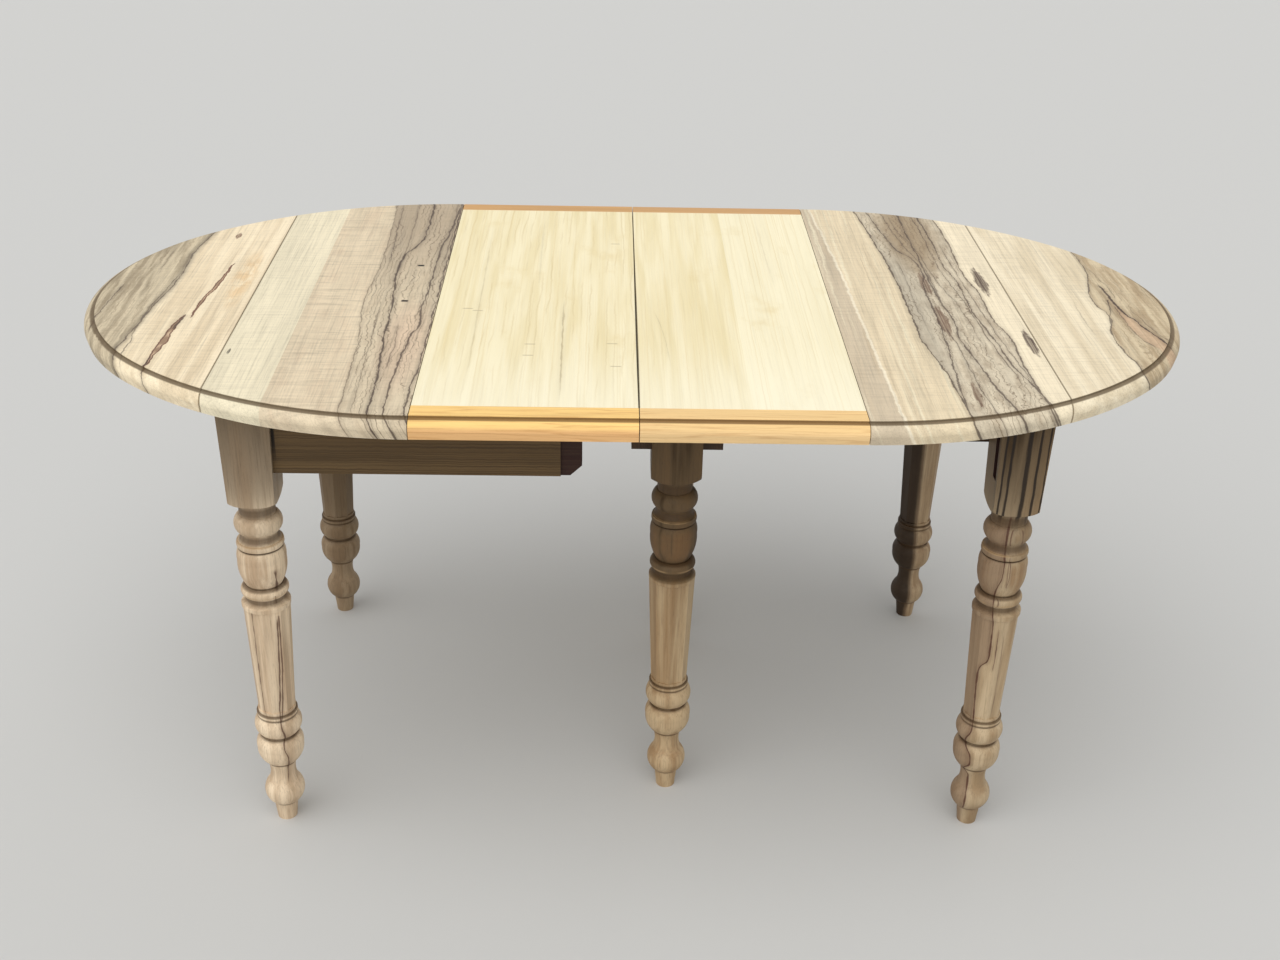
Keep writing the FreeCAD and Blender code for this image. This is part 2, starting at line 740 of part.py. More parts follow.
def end_rail(side):
    """The rail between the two legs of a half, tenoned into both and notched for the loper."""
    label = f"{side}_end_rail"
    body = new_body(label)
    face = [
        (-LEG_INNER_Y, UNDERSIDE),
        (-LEG_INNER_Y - SHOULDER_LEAN, RAIL_BOTTOM),
        (LEG_INNER_Y + SHOULDER_LEAN, RAIL_BOTTOM),
        (LEG_INNER_Y, UNDERSIDE),
        (NOTCH_HALF, UNDERSIDE),
        (NOTCH_HALF, NOTCH_BOTTOM),
        (-NOTCH_HALF, NOTCH_BOTTOM),
        (-NOTCH_HALF, UNDERSIDE),
    ]
    pad(body, f"{label}_board", "YZ", END_RAIL_IN, face, of("rail_thickness"))
    root = LEG_INNER_Y - of("tenon_depth")
    tip = LEG_INNER_Y + of("tenon_depth")
    front = rectangle(-tip, -root, TENON_LOW, TENON_HIGH)
    rear = rectangle(root, tip, TENON_LOW, TENON_HIGH)
    pad(body, f"{label}_front_tenon", "YZ", END_TENON, front, of("tenon_thickness"))
    pad(body, f"{label}_rear_tenon", "YZ", END_TENON, rear, of("tenon_thickness"))
    seat(body, side, label)


def bearer(side):
    """The short bearer under a half top, behind the leg that takes the other half's tongue."""
    label = f"{side}_bearer"
    face = -(LEG_INNER_Y - of("bearer_leg_gap"))
    depth = (face, face + of("bearer_thickness"))
    height = (UNDERSIDE - of("bearer_height"), UNDERSIDE)
    bar = box(f"{label}_bar", (of("bearer_inset"), END_RAIL_IN), depth, height)
    seat(group(f"{label}_seated", [bar]), side, label)


# Slides

def slide(side, rear):
    """A slide bar of a half: a dovetail tongue along its side, and a slot below it that stops the travel."""
    label = f"{side}_{local_end(side, rear)}_slide"
    body = new_body(label)
    face = INNER_BAR + of("bar_thickness") if rear else -OUTER_BAR
    back = face - of("bar_thickness")
    neck = of("dovetail_neck") / 2
    crown = neck + of("dovetail_flare")
    tip = face + of("dovetail_depth")
    section = [
        (back, BAR_BOTTOM),
        (face, BAR_BOTTOM),
        (face, DOVETAIL_HEIGHT - neck),
        (tip, DOVETAIL_HEIGHT - crown),
        (tip, DOVETAIL_HEIGHT + crown),
        (face, DOVETAIL_HEIGHT + neck),
        (face, UNDERSIDE),
        (back, UNDERSIDE),
    ]
    pad(body, f"{label}_bar", "YZ", BAR_FREE_END, section, of("bar_length"))
    half_slot = of("stop_slot_height") / 2
    slot_end = END_RAIL_IN - of("stop_slot_fixed_end")
    slot = rectangle(
        BAR_FREE_END + of("stop_slot_free_end"), slot_end, PEG_HEIGHT - half_slot, PEG_HEIGHT + half_slot)
    pocket(body, f"{label}_stop_slot", "XZ", -face, slot, of("stop_slot_depth"))
    seat(body, side, label)


def centre_bar(end):
    """A centre bar with a dovetail groove along each side and a stop peg at each end."""
    label = f"centre_bar_{end}"
    body = new_body(label)
    low = CENTRE_BAR if end == "rear" else -CENTRE_BAR - of("bar_thickness")
    high = low + of("bar_thickness")
    neck = of("dovetail_neck") / 2 + of("dovetail_play")
    crown = neck + of("dovetail_flare")
    depth = of("dovetail_depth") + of("dovetail_play")
    head = UNDERSIDE - of("bar_play")
    section = [
        (low, PLANK_TOP),
        (high, PLANK_TOP),
        (high, DOVETAIL_HEIGHT - neck),
        (high - depth, DOVETAIL_HEIGHT - crown),
        (high - depth, DOVETAIL_HEIGHT + crown),
        (high, DOVETAIL_HEIGHT + neck),
        (high, head),
        (low, head),
        (low, DOVETAIL_HEIGHT + neck),
        (low + depth, DOVETAIL_HEIGHT + crown),
        (low + depth, DOVETAIL_HEIGHT - crown),
        (low, DOVETAIL_HEIGHT - neck),
    ]
    half_length = of("centre_bar_length") / 2
    pad(body, f"{label}_bar", "YZ", -half_length, section, of("centre_bar_length"))
    reach = half_length - of("peg_from_end")
    radius = of("peg_diameter") / 2
    length = of("peg_reach") + of("peg_root")
    pegs = [
        rod(f"{label}_peg_one", radius, length, (reach, low - of("peg_reach"), PEG_HEIGHT)),
        rod(f"{label}_peg_two", radius, length, (-reach, high - of("peg_root"), PEG_HEIGHT)),
    ]
    bored = cut(f"{label}_bored", body, join("Fuse", f"{label}_peg_holes", pegs))
    bind(bored, "Placement.Base.x", of("carriage_offset"))
    keep(bored, label)
    return pegs


def carriage():
    """The centre carriage: legs let into a notched plank, grooved bars and their stop pegs."""
    half_width = of("plank_width") / 2
    half_length = of("plank_length") / 2
    middle = of("carriage_offset")
    across = (middle - half_width, middle + half_width)
    plank = box("plank_board", across, (-half_length, half_length), (RAIL_BOTTOM, PLANK_TOP))
    notch_height = (RAIL_BOTTOM - of("plank_thickness"), PLANK_TOP + of("plank_thickness"))
    notches = []
    pegs = []
    for end, facing, shift in (("front", -1, as_size(0)), ("rear", 1, of("rear_leg_shift"))):
        label = f"centre_leg_{end}"
        leg_x = middle + shift
        body = leg_body(label, PLANK_TOP, of("block_width"))
        bind(body, "Placement.Base.x", leg_x)
        bind(body, "Placement.Base.y", facing * of("carriage_leg_from_middle"))
        keep(body, label)
        inner = of("carriage_leg_from_middle") - BLOCK_HALF
        notch_y = (inner, of("plank_length")) if facing > 0 else (-of("plank_length"), -inner)
        notch_x = (leg_x - BLOCK_HALF, leg_x + BLOCK_HALF)
        notches.append(box(f"{end}_leg_notch", notch_x, notch_y, notch_height))
        pegs = pegs + centre_bar(end)
    keep(cut("plank_notched", plank, join("Fuse", "leg_notches", notches)), "centre_plank")
    stop_pegs = group("all_pegs", pegs)
    bind(stop_pegs, "Placement.Base.x", middle)
    keep(stop_pegs, "stop_pegs")


# Lopers

def loper(side):
    """The bar that is pulled out to hold a flap up, its stop peg, and the guide under the top."""
    label = f"{side}_loper"
    body = new_body(label)
    top = LOPER_BOTTOM + of("loper_height")
    nose = of("loper_edge_round")
    face = [
        (LOPER_IN, LOPER_BOTTOM),
        (LOPER_OUT - nose, LOPER_BOTTOM),
        (LOPER_OUT, LOPER_BOTTOM + nose),
        (LOPER_OUT, top),
        (LOPER_IN, top),
    ]
    pad(body, f"{label}_bar", "XZ", -LOPER_HALF, face, of("loper_width"), {1: nose * QUARTER_SWELL})
    peg_x = LOPER_IN + of("loper_peg_inset")
    peg_bottom = LOPER_BOTTOM - of("loper_peg_reach")
    peg_length = of("loper_peg_reach") + of("loper_height") / 2
    peg_radius = of("loper_peg_diameter") / 2
    peg = rod(f"{label}_peg_rod", peg_radius, peg_length, (peg_x, as_size(0), peg_bottom), UP)
    seat(cut(f"{label}_bored", body, peg), side, label)
    seat(group(f"{label}_peg_set", [peg]), side, f"{side}_loper_peg")
    guide_label = f"{side}_loper_guide"
    guide = new_body(guide_label)
    wall = NOTCH_HALF + of("guide_wall")
    channel = [
        (-wall, NOTCH_BOTTOM - of("guide_wall")),
        (wall, NOTCH_BOTTOM - of("guide_wall")),
        (wall, UNDERSIDE),
        (NOTCH_HALF, UNDERSIDE),
        (NOTCH_HALF, NOTCH_BOTTOM),
        (-NOTCH_HALF, NOTCH_BOTTOM),
        (-NOTCH_HALF, UNDERSIDE),
        (-wall, UNDERSIDE),
    ]
    start = END_RAIL_IN - of("guide_from_rail") - of("guide_length")
    pad(guide, f"{guide_label}_channel", "YZ", start, channel, of("guide_length"))
    seat(guide, side, guide_label)


# Flap hinges

def hinge_plate(label, middle, spans, outward):
    """One plate of a hinge with its knuckles, bored for the pin: outward is 1 on the flap, -1 on the top."""
    gap = of("knuckle_radius") + of("knuckle_recess")
    near = FLAP_SEAM + outward * gap
    far = FLAP_SEAM + outward * (gap + of("hinge_plate_width"))
    half = of("hinge_length") / 2
    height = (UNDERSIDE, UNDERSIDE + of("hinge_plate_thickness"))
    across = (near, far) if outward > 0 else (far, near)
    shapes = [box(f"{label}_plate", across, (middle - half, middle + half), height)]
    for index, (start, end) in enumerate(spans):
        reach = (FLAP_SEAM, near) if outward > 0 else (near, FLAP_SEAM)
        shapes.append(box(f"{label}_tab_{index}", reach, (middle + start, middle + end), height))
        place = (FLAP_SEAM, middle + start, UNDERSIDE)
        shapes.append(rod(f"{label}_knuckle_{index}", of("knuckle_radius"), end - start, place))
    bore_place = (FLAP_SEAM, middle - half, UNDERSIDE)
    bore = rod(f"{label}_bore", of("pin_radius") + of("pin_play"), of("hinge_length"), bore_place)
    return cut(label, join("Fuse", f"{label}_whole", shapes), bore)


def hinges(side):
    """The two hinges of a flap: plates on the top, plates on the flap, and pins."""
    half = of("hinge_length") / 2
    sixth = of("hinge_length") / 6
    gap = of("knuckle_gap") / 2
    outer_spans = [(-half, -sixth - gap), (sixth + gap, half)]
    inner_span = [(gap - sixth, sixth - gap)]
    fixed = []
    moving = []
    pins = []
    for name, facing in (("near", -1), ("far", 1)):
        middle = facing * of("hinge_from_middle")
        fixed.append(hinge_plate(f"{side}_{name}_top_plate", middle, outer_spans, -1))
        moving.append(hinge_plate(f"{side}_{name}_flap_plate", middle, inner_span, 1))
        place = (FLAP_SEAM, middle - half, UNDERSIDE)
        pins.append(rod(f"{side}_{name}_pin", of("pin_radius"), of("hinge_length"), place))
    seat(group(f"{side}_top_plates", fixed), side, f"{side}_hinge_top_plates")
    seat(group(f"{side}_flap_plates", moving), side, f"{side}_hinge_flap_plates")
    seat(group(f"{side}_pins", pins), side, f"{side}_hinge_pins")


# Loose leaves

def leaf(side):
    """A loose leaf: two boards, a moulded strip across each end, and two battens below."""
    outer = -of("leaf_gap") / 2
    joint = -of("leaf_board")
    inner = of("middle_gap") / 2 - of("leaf_width")
    board_end = HALF_WIDTH - of("strip_width")
    depth = (-board_end, board_end)
    height = (LEAF_UNDERSIDE, of("top_height"))
    for name, along in (("outer", (joint, outer)), ("inner", (inner, joint))):
        panel = box(f"{side}_leaf_{name}_bar", along, depth, height)
        seat(group(f"{side}_leaf_{name}_seated", [panel]), side, f"{side}_leaf_board_{name}")
    section = [(board_end, LEAF_UNDERSIDE)] + edge_profile(HALF_WIDTH, LEAF_UNDERSIDE)
    section.append((board_end, of("top_height")))
    for rear, facing in ((False, -1), (True, 1)):
        label = f"{side}_leaf_strip_{local_end(side, rear)}"
        body = new_body(label)
        points = [(facing * across, up) for across, up in section]
        pad(body, f"{label}_bar", "YZ", inner, points, outer - inner, {2: facing * THUMB_SWELL})
        seat(body, side, label)
    battens = []
    along = (inner + of("batten_inset"), outer - of("batten_inset"))
    drop = (LEAF_UNDERSIDE - of("batten_thickness"), LEAF_UNDERSIDE)
    low = of("batten_from_middle")
    high = low + of("batten_width")
    for name, across in (("near", (-high, -low)), ("far", (low, high))):
        battens.append(box(f"{side}_leaf_{name}_batten", along, across, drop))
    seat(group(f"{side}_leaf_batten_pair", battens), side, f"{side}_leaf_battens")


carriage()
for half in SIDES:
    make_tops(half)
    for at_rear in (False, True):
        corner_leg(half, at_rear)
        slide(half, at_rear)
    side_rail(half)
    end_rail(half)
    bearer(half)
    loper(half)
    hinges(half)
    leaf(half)
doc.recompute()

# Every object and every piece has to be sound before anything is written
for thing in doc.Objects:
    if "Invalid" in thing.State or "Error" in thing.State:
        raise RuntimeError(f"{thing.Label} did not build: {thing.State}")
os.makedirs("parts", exist_ok=True)
for piece in pieces:
    if piece.Shape.isNull() or not piece.Shape.isValid():
        raise RuntimeError(f"{piece.Label} has no sound shape")
for piece in pieces:
    piece.Shape.exportStep(f"parts/{piece.Label}.step")
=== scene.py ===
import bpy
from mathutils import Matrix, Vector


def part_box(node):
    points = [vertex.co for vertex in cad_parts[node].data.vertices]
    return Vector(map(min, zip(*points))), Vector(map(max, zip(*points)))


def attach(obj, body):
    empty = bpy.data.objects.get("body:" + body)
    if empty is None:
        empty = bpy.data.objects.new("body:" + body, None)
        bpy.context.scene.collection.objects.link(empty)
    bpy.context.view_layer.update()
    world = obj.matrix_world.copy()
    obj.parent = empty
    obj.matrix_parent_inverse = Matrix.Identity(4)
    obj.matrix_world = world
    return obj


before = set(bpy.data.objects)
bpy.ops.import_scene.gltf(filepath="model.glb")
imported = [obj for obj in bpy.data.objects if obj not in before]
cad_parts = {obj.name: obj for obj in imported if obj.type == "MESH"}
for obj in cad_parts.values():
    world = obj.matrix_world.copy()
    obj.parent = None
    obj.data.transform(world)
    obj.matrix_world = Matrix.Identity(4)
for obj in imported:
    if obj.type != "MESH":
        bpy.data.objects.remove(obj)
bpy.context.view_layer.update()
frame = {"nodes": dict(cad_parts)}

import fnmatch
import math
from collections import namedtuple

import bmesh
import bpy
from mathutils import Matrix, Vector

# An oval extending table of bare, spalted wood on turned legs. Lengths are in metres, angles in radians,
# and tones are screen values from 0 to 255. The grain runs along Y in the top, along Z in the legs and
# along X in the side rails, the slides and the leaves' end strips.

# The camera, as it stood for the photograph, with the frame's width in pixels
CAMERA_PLACE = (-0.0445, -2.2767, 1.6106)
CAMERA_YAW = 0.0254
CAMERA_PITCH = 0.4776
CAMERA_ROLL = 0.023
FOCAL_PIXELS = 1604.3
FRAME_WIDTH = 1280
SENSOR_WIDTH = 36

# Light and floor
SKY_COLOUR = (1, 0.995, 0.985, 1)
SKY_STRENGTH = 0.56
BACKGROUND_STRENGTH = 0.85
LAMP_STRENGTH = 1.8
LAMP_SPREAD = 1.4
LAMP_DIRECTION = (-0.3, -0.6, 1)
FLOOR_REACH = 300
FLOOR_TONE = (204, 204, 202)
FLOOR_ROUGHNESS = 0.9

# Heights and seams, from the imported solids
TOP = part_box("right_top_board_inner")[1].z
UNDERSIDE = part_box("right_top_board_inner")[0].z
QUIRK_DEPTH = 0.003
FLAP_SEAM = (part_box("right_top_board_outer")[1].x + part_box("right_flap_board_inner")[0].x) / 2
PALE_BOARD_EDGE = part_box("left_top_board_outer")[1].x
RIGHT_LEAF_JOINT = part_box("right_leaf_board_inner")[1].x

# Dark lines, old dirt with painted shade in the quirk and beside a seam, and painted shade in the leaves'
# gap:
# the dirt and shade's lower edge from the quirk's floor, its upper edge from the top's face, and its reach
# at a seam
LINE_TONE = (74, 59, 51)
REDDISH_LINE_TONE = (104, 66, 50)
DIRT_AND_SHADE_TONE = (96, 78, 54)
LEAF_GAP_SHADE_TONE = (34, 27, 20)
QUIRK_DIRT_AND_SHADE_LOW = (-0.001, -0.0002)
QUIRK_DIRT_AND_SHADE_HIGH = (-0.0012, -0.0003)
SEAM_DIRT_AND_SHADE = (0.0007, 0.0018)
# How softly colours change at a glued joint, a drawn line and a wide one, and a line's least sway
JOINT_SOFTNESS = 0.0003
LINE_SOFTNESS = 0.003
WIDE_SOFTNESS = 0.004
LEAST_SWAY = 0.0001

# Clouds per metre in each noise: across the grain, along it and into the wood, or along X, Y and Z
WAVER = (9, 30, 9)
SWELL = (40, 42, 40)
STREAKS = (430, 9, 430)
PORES = (1200, 70, 1200)
FIGURE = (48, 2.4, 48)
BLOTCHES = (85, 26, 1)
KNOT_EDGE = (200, 55, 1)
LINE_DRIFT = (15, 5, 1)
LINE_SHAKE = (70, 80, 1)
LINE_FADING = (55, 8, 1)
RIPPLE = (14, 230)
GREY_RIPPLE = (16, 190)
RIGHT_STREAKS = (130, 2)
LEAF_LINES = (330, 0.9)
LEAF_STAIN = (13, 8)
STRIP_RINGS = (70, 3)
STRIPE_DRIFT = (7,)
STRIPE_EDGE = (300, 30)
PLAIN_LINES = (760, 1.6, 1)
RUST = (160, 160, 160)
SPECKLE = (900, 900, 900)
# How many times as fine the blotches at the flaps' tips are across the grain and along it
TIP_BLOTCHES = (1.3, 0.3)

# A vein is a dark line through drawn points (across the grain, along it). It swells between two shares
# of its width, in a halo of so many widths and of a fainter share
Vein = namedtuple("Vein", "points width strength fade", defaults=(0,))
VEIN_SWELL = (0.5, 1.6)
HALO_WIDTHS = 5
HALO_SHARE = 0.28
# A knot is a dark lens: its middle across and along the grain, and its half sizes
Knot = namedtuple("Knot", "across along width length")
KNOT_RAGGED = 1.5
KNOT_POINTED = 1.5
# A spindle is a pair of lines that part and meet again, with a warm fill between them
Spindle = namedtuple("Spindle", "points width")
SPINDLE_LINE = (0.0004, 0.0016)
SPINDLE_FILL = (-0.0005, 0.001)
# A patch is a soft oval: its middle and its half sizes
Patch = namedtuple("Patch", "x y half_x half_y")
# The gloss of wood and iron and the depth of their relief
SPECULAR_LEVEL = 0.3
RELIEF_DEPTH = 0.0006


def linear(tone):
    """A screen colour from 0 to 255 as the linear colour that a shader takes."""
    parts = []
    for value in tone:
        share = value / 255
        parts.append(share / 12.92 if share <= 0.04045 else ((share + 0.055) / 1.055) ** 2.4)
    return (*parts, 1)


def drawn(*points):
    """The points of a drawn line in metres, from millimetres across the grain and along it."""
    return [(across / 1000, along / 1000) for across, along in points]


def reach_along(points):
    """The lowest and highest places of a drawn line along the grain."""
    places = [along for _, along in points]
    return min(places), max(places)


class Shader:
    """A material's node tree, with a short call for each kind of node used here."""

    def __init__(self, name):
        self.material = bpy.data.materials.new(name)
        self.material.use_nodes = True
        self.tree = self.material.node_tree
        self.surface = self.tree.nodes["Principled BSDF"]
        coordinates = self.add("ShaderNodeTexCoord")
        self.x, self.y, self.z = self.add("ShaderNodeSeparateXYZ", coordinates.outputs["Object"]).outputs
        self.normal = coordinates.outputs["Normal"]
        self.colour = None

    def add(self, kind, *inputs, **settings):
        """A node with its first inputs linked or set, in order."""
        node = self.tree.nodes.new(kind)
        for name, value in settings.items():
            setattr(node, name, value)
        for socket, value in zip(node.inputs, inputs):
            self.put(socket, value)
        return node

    def put(self, socket, value):
        """Link a socket, or set its value."""
        if isinstance(value, bpy.types.NodeSocket):
            self.tree.links.new(value, socket)
        elif value is not None:
            socket.default_value = value

    def math(self, operation, first, second=None):
        """One arithmetic step."""
        return self.add("ShaderNodeMath", first, second, operation=operation).outputs[0]

    def plus(self, first, second):
        """A sum."""
        return self.math("ADD", first, second)

    def minus(self, first, second):
        """A difference."""
        return self.math("SUBTRACT", first, second)

    def times(self, first, second):
        """A product."""
        return self.math("MULTIPLY", first, second)

    def over(self, first, second):
        """A quotient."""
        return self.math("DIVIDE", first, second)

    def most(self, values):
        """The largest of several values."""
        largest = values[0]
        for value in values[1:]:
            largest = self.math("MAXIMUM", largest, value)
        return largest

    def away(self, value, place=0):
        """The distance of a value from a place."""
        return self.math("ABSOLUTE", self.minus(value, place))

    def shifted(self, value, noise, reach):
        """A value moved to and fro by a noise."""
        return self.plus(value, self.times(self.minus(noise, 0.5), reach))

    def span(self, value, low, high, start=0, end=1, smooth=True):
        """A value taken from one range to another, and held at its ends."""
        kind = "SMOOTHSTEP" if smooth else "LINEAR"
        node = self.add("ShaderNodeMapRange", value, low, high, start, end, interpolation_type=kind)
        return node.outputs[0]

    def fade(self, value, low, high, share=1):
        """A share that falls to 0 from one value to another."""
        return self.span(value, low, high, share, 0)

    def vector(self, x, y=0, z=0):
        """A place from its coordinates."""
        return self.add("ShaderNodeCombineXYZ", x, y, z).outputs[0]

    def noise(self, place, clouds, seed, detail=3, roughness=0.55, twist=0):
        """Cloudy noise from 0 to 1, so many clouds per metre each way, its own for each seed."""
        scaled = [self.times(coordinate, count) for coordinate, count in zip(place, clouds)]
        node = self.add("ShaderNodeTexNoise", noise_dimensions="4D")
        for name, value in (("Vector", self.vector(*scaled)), ("W", seed), ("Scale", 1), ("Detail", detail),
                            ("Roughness", roughness), ("Distortion", twist)):
            self.put(node.inputs[name], value)
        return node.outputs["Fac"]

    def mix(self, share, first, second, blend="MIX"):
        """Two colours mixed, each a tone or another node's colour."""
        node = self.add("ShaderNodeMix", data_type="RGBA", blend_type=blend)
        self.put(node.inputs["Factor"], share)
        for name, value in (("A", first), ("B", second)):
            socket = [item for item in node.inputs if item.name == name and item.type == "RGBA"][0]
            self.put(socket, linear(value) if isinstance(value, tuple) else value)
        return [item for item in node.outputs if item.type == "RGBA"][0]

    def paint(self, tone, *shares):
        """Lay a tone or a node's colour over the colour so far, by the product of these shares."""
        product = shares[0]
        for share in shares[1:]:
            product = self.times(product, share)
        self.colour = self.mix(product, self.colour, tone)

    def darken(self, share):
        """Darken the colour so far by a share."""
        left = self.minus(1, share)
        self.colour = self.mix(1, self.colour, self.vector(left, left, left), "MULTIPLY")

    def patch(self, patch, share=1):
        """A soft oval patch."""
        first = self.over(self.minus(self.x, patch.x), patch.half_x)
        second = self.over(self.minus(self.y, patch.y), patch.half_y)
        return self.fade(self.plus(self.times(first, first), self.times(second, second)), 0, 1, share)

    def spot(self, place, half_sides):
        """A small sharp rectangle, such as a nail hole or a scratch."""
        shares = []
        for coordinate, middle, half in zip((self.x, self.y), place, half_sides):
            shares.append(self.fade(self.away(coordinate, middle), 0.6 * half, half))
        return self.times(*shares)

    def bands(self, value, places, core, edge, share):
        """Soft bands about places, each full to one part of its reach and gone at another."""
        shown = []
        for place, reach in places:
            shown.append(self.fade(self.away(value, place), core * reach, edge * reach, share))
        return self.most(shown)

    def joint(self, place):
        """0 on the left of a glued joint between two boards and 1 on its right."""
        return self.span(self.x, place - JOINT_SOFTNESS, place + JOINT_SOFTNESS)

    def off_cut_faces(self):
        """1 on the faces of a board that are on show, and 0 on its cut sides that look along X."""
        sideways = self.away(self.add("ShaderNodeSeparateXYZ", self.normal).outputs[0])
        return self.fade(sideways, 0.8, 0.95)


class Wood(Shader):
    """A material with a grain, and the marks that are drawn along it."""

    def grow(self, along, across, depth, seed, wander=0):
        """Lay the grain: its coordinates, its noises, and lines that wander by so much."""
        self.along, self.across, self.depth = along, across, depth
        self.place = (across, along, depth)
        self.warped = across
        if wander:
            self.warped = self.shifted(across, self.noise(self.place, WAVER, seed, 6, 0.72), 2 * wander)
        self.flow = (self.warped, along, depth)
        self.swell = self.noise(self.place, SWELL, seed + 1, 1)
        self.streaks = self.noise(self.place, STREAKS, seed + 2, 4, 0.65)
        self.pores = self.span(self.noise(self.place, PORES, seed + 3, 1), 0.6, 0.74)
        self.figure = self.noise(self.place, FIGURE, seed + 4, 3, 0.55, 0.5)

    def traced(self, points):
        """The place across the grain of a drawn line, at each place along the grain."""
        ordered = sorted(points, key=lambda point: point[1])
        low, high = ordered[0][1], ordered[-1][1]
        left = min(across for across, _ in ordered)
        right = max(across for across, _ in ordered) + LEAST_SWAY
        node = self.add("ShaderNodeFloatCurve", 1, self.span(self.along, low, high, smooth=False))
        curve = node.mapping.curves[0]
        shares = []
        for across, place in ordered:
            shares.append(((place - low) / (high - low), (across - left) / (right - left)))
        curve.points[0].location = shares[0]
        curve.points[1].location = shares[-1]
        for share in shares[1:-1]:
            curve.points.new(*share)
        node.mapping.update()
        return self.span(node.outputs[0], 0, 1, left, right, smooth=False)

    def from_line(self, points):
        """How far a place is to the right of a drawn line."""
        return self.minus(self.warped, self.traced(points))

    def right_of(self, points, softness=LINE_SOFTNESS):
        """Which side of a drawn line a place is on: 0 on its left and 1 on its right."""
        return self.span(self.from_line(points), -softness, softness)

    def ends(self, points, part):
        """A share that falls to 0 over a part of a drawn line at both its ends."""
        low, high = reach_along(points)
        run = part * (high - low)
        return self.times(self.span(self.along, low, low + run), self.fade(self.along, high - run, high))

    def vein(self, vein):
        """How much of a vein shows at a place: a line of uneven width in a soft halo."""
        thin, thick = VEIN_SWELL
        distance = self.away(self.from_line(vein.points))
        width = self.span(self.swell, 0.3, 0.7, thin * vein.width, thick * vein.width)
        core = self.fade(self.over(distance, width), 0.3, 1, vein.strength)
        halo = self.fade(distance, 0, HALO_WIDTHS * vein.width, HALO_SHARE * vein.strength)
        shown = self.most([core, halo])
        if vein.fade:
            shown = self.times(shown, self.ends(vein.points, vein.fade))
        return shown

    def knot(self, knot, seed):
        """How much of a lens-shaped knot shows at a place, with a ragged outline."""
        ragged = self.noise(self.place, KNOT_EDGE, seed)
        crosswise = self.over(self.minus(self.across, knot.across), knot.width)
        lengthwise = self.over(self.away(self.along, knot.along), knot.length)
        reach = self.plus(self.times(crosswise, crosswise), self.math("POWER", lengthwise, KNOT_POINTED))
        lens = self.fade(self.shifted(reach, ragged, KNOT_RAGGED), 0.4, 0.95, 0.95)
        return self.times(lens, self.span(self.streaks, 0.35, 0.6, 0.55, 1))

    def spindle(self, spindle):
        """The outline of a spindle, and the share of its fill."""
        low, high = reach_along(spindle.points)
        turn = self.span(self.along, low, high, 0, math.pi, smooth=False)
        bulge = self.times(self.math("SINE", turn), self.span(self.swell, 0.3, 0.7, 0.5, 1.2))
        half = self.times(bulge, spindle.width)
        distance = self.away(self.from_line(spindle.points))
        within = self.ends(spindle.points, 0.05)
        outline = self.fade(self.away(distance, half), *SPINDLE_LINE, 0.95)
        fill = self.span(self.minus(half, distance), *SPINDLE_FILL)
        return self.times(outline, within), self.times(fill, within)

    def mottled(self, seed, finer=1, shorter=1):
        """Blotches a centimetre or two across, drawn out along the grain."""
        across, along, depth = BLOTCHES
        clouds = (across * finer, along * shorter, depth)
        return self.noise(self.flow, clouds, seed, 4, 0.6)

    def fine_lines(self, share, seed, per_metre, squiggle, thinness=0.13, bend=8):
        """Thin lines that run side by side along the grain, waver together, and fade in and out."""
        drift = self.noise(self.flow, LINE_DRIFT, seed, 2)
        shake = self.noise(self.place, LINE_SHAKE, seed + 0.3, 2)
        wavering = self.plus(self.times(drift, bend), self.times(shake, squiggle))
        phase = self.plus(self.times(self.warped, per_metre), wavering)
        line = self.fade(self.away(self.math("FRACT", phase), 0.5), 0, thinness)
        shown = self.noise(self.flow, LINE_FADING, seed + 0.6, 2)
        return self.times(line, self.span(shown, 0.4, 0.6, 0, share))

    def grained(self, streak=0.24, pore=0.2, figure=0.13):
        """Put streaks, pores and the broad figure into the colour, no darker on the whole."""
        broad = self.span(self.figure, 0.36, 0.68, 0, figure)
        fine = self.span(self.streaks, 0.42, 0.74, 0, streak)
        dark = self.plus(self.plus(broad, fine), self.times(self.pores, pore))
        self.darken(self.minus(dark, 0.4 * (figure + streak)))

    def finish(self, roughness=0.64, relief=0.3):
        """Send the colour, the grain's relief and its gloss to the surface."""
        self.put(self.surface.inputs["Base Color"], self.colour)
        gloss = self.span(self.streaks, 0.25, 0.75, roughness + 0.09, roughness - 0.07)
        self.put(self.surface.inputs["Roughness"], gloss)
        self.surface.inputs["Specular IOR Level"].default_value = SPECULAR_LEVEL
        bump = self.add("ShaderNodeBump", relief, RELIEF_DEPTH)
        self.put(bump.inputs["Height"], self.minus(self.streaks, self.times(self.pores, 0.4)))
        self.put(self.surface.inputs["Normal"], bump.outputs[0])
        return self.material


# The top

def top_wood(name, seed, wander=0.006):
    """Wood of the top, whose lines slant a little as they go down through the board."""
    wood = Wood(name)
    slanted = wood.plus(wood.x, wood.times(wood.minus(wood.z, TOP), 0.5))
    wood.grow(wood.y, slanted, wood.z, seed, wander)
    return wood


def edge_dirt_and_shade(wood, seams):
    """Old dirt and painted shade in the quirk of the moulded edge and along the seams at these places."""
    above = wood.span(wood.minus(wood.z, TOP - QUIRK_DEPTH), *QUIRK_DIRT_AND_SHADE_LOW)
    below = wood.fade(wood.minus(wood.z, TOP), *QUIRK_DIRT_AND_SHADE_HIGH, 0.85)
    marks = [wood.times(above, below)]
    for seam in seams:
        beside = wood.fade(wood.away(wood.x, seam), *SEAM_DIRT_AND_SHADE, 0.65)
        marks.append(wood.times(beside, wood.off_cut_faces()))
    return wood.most(marks)


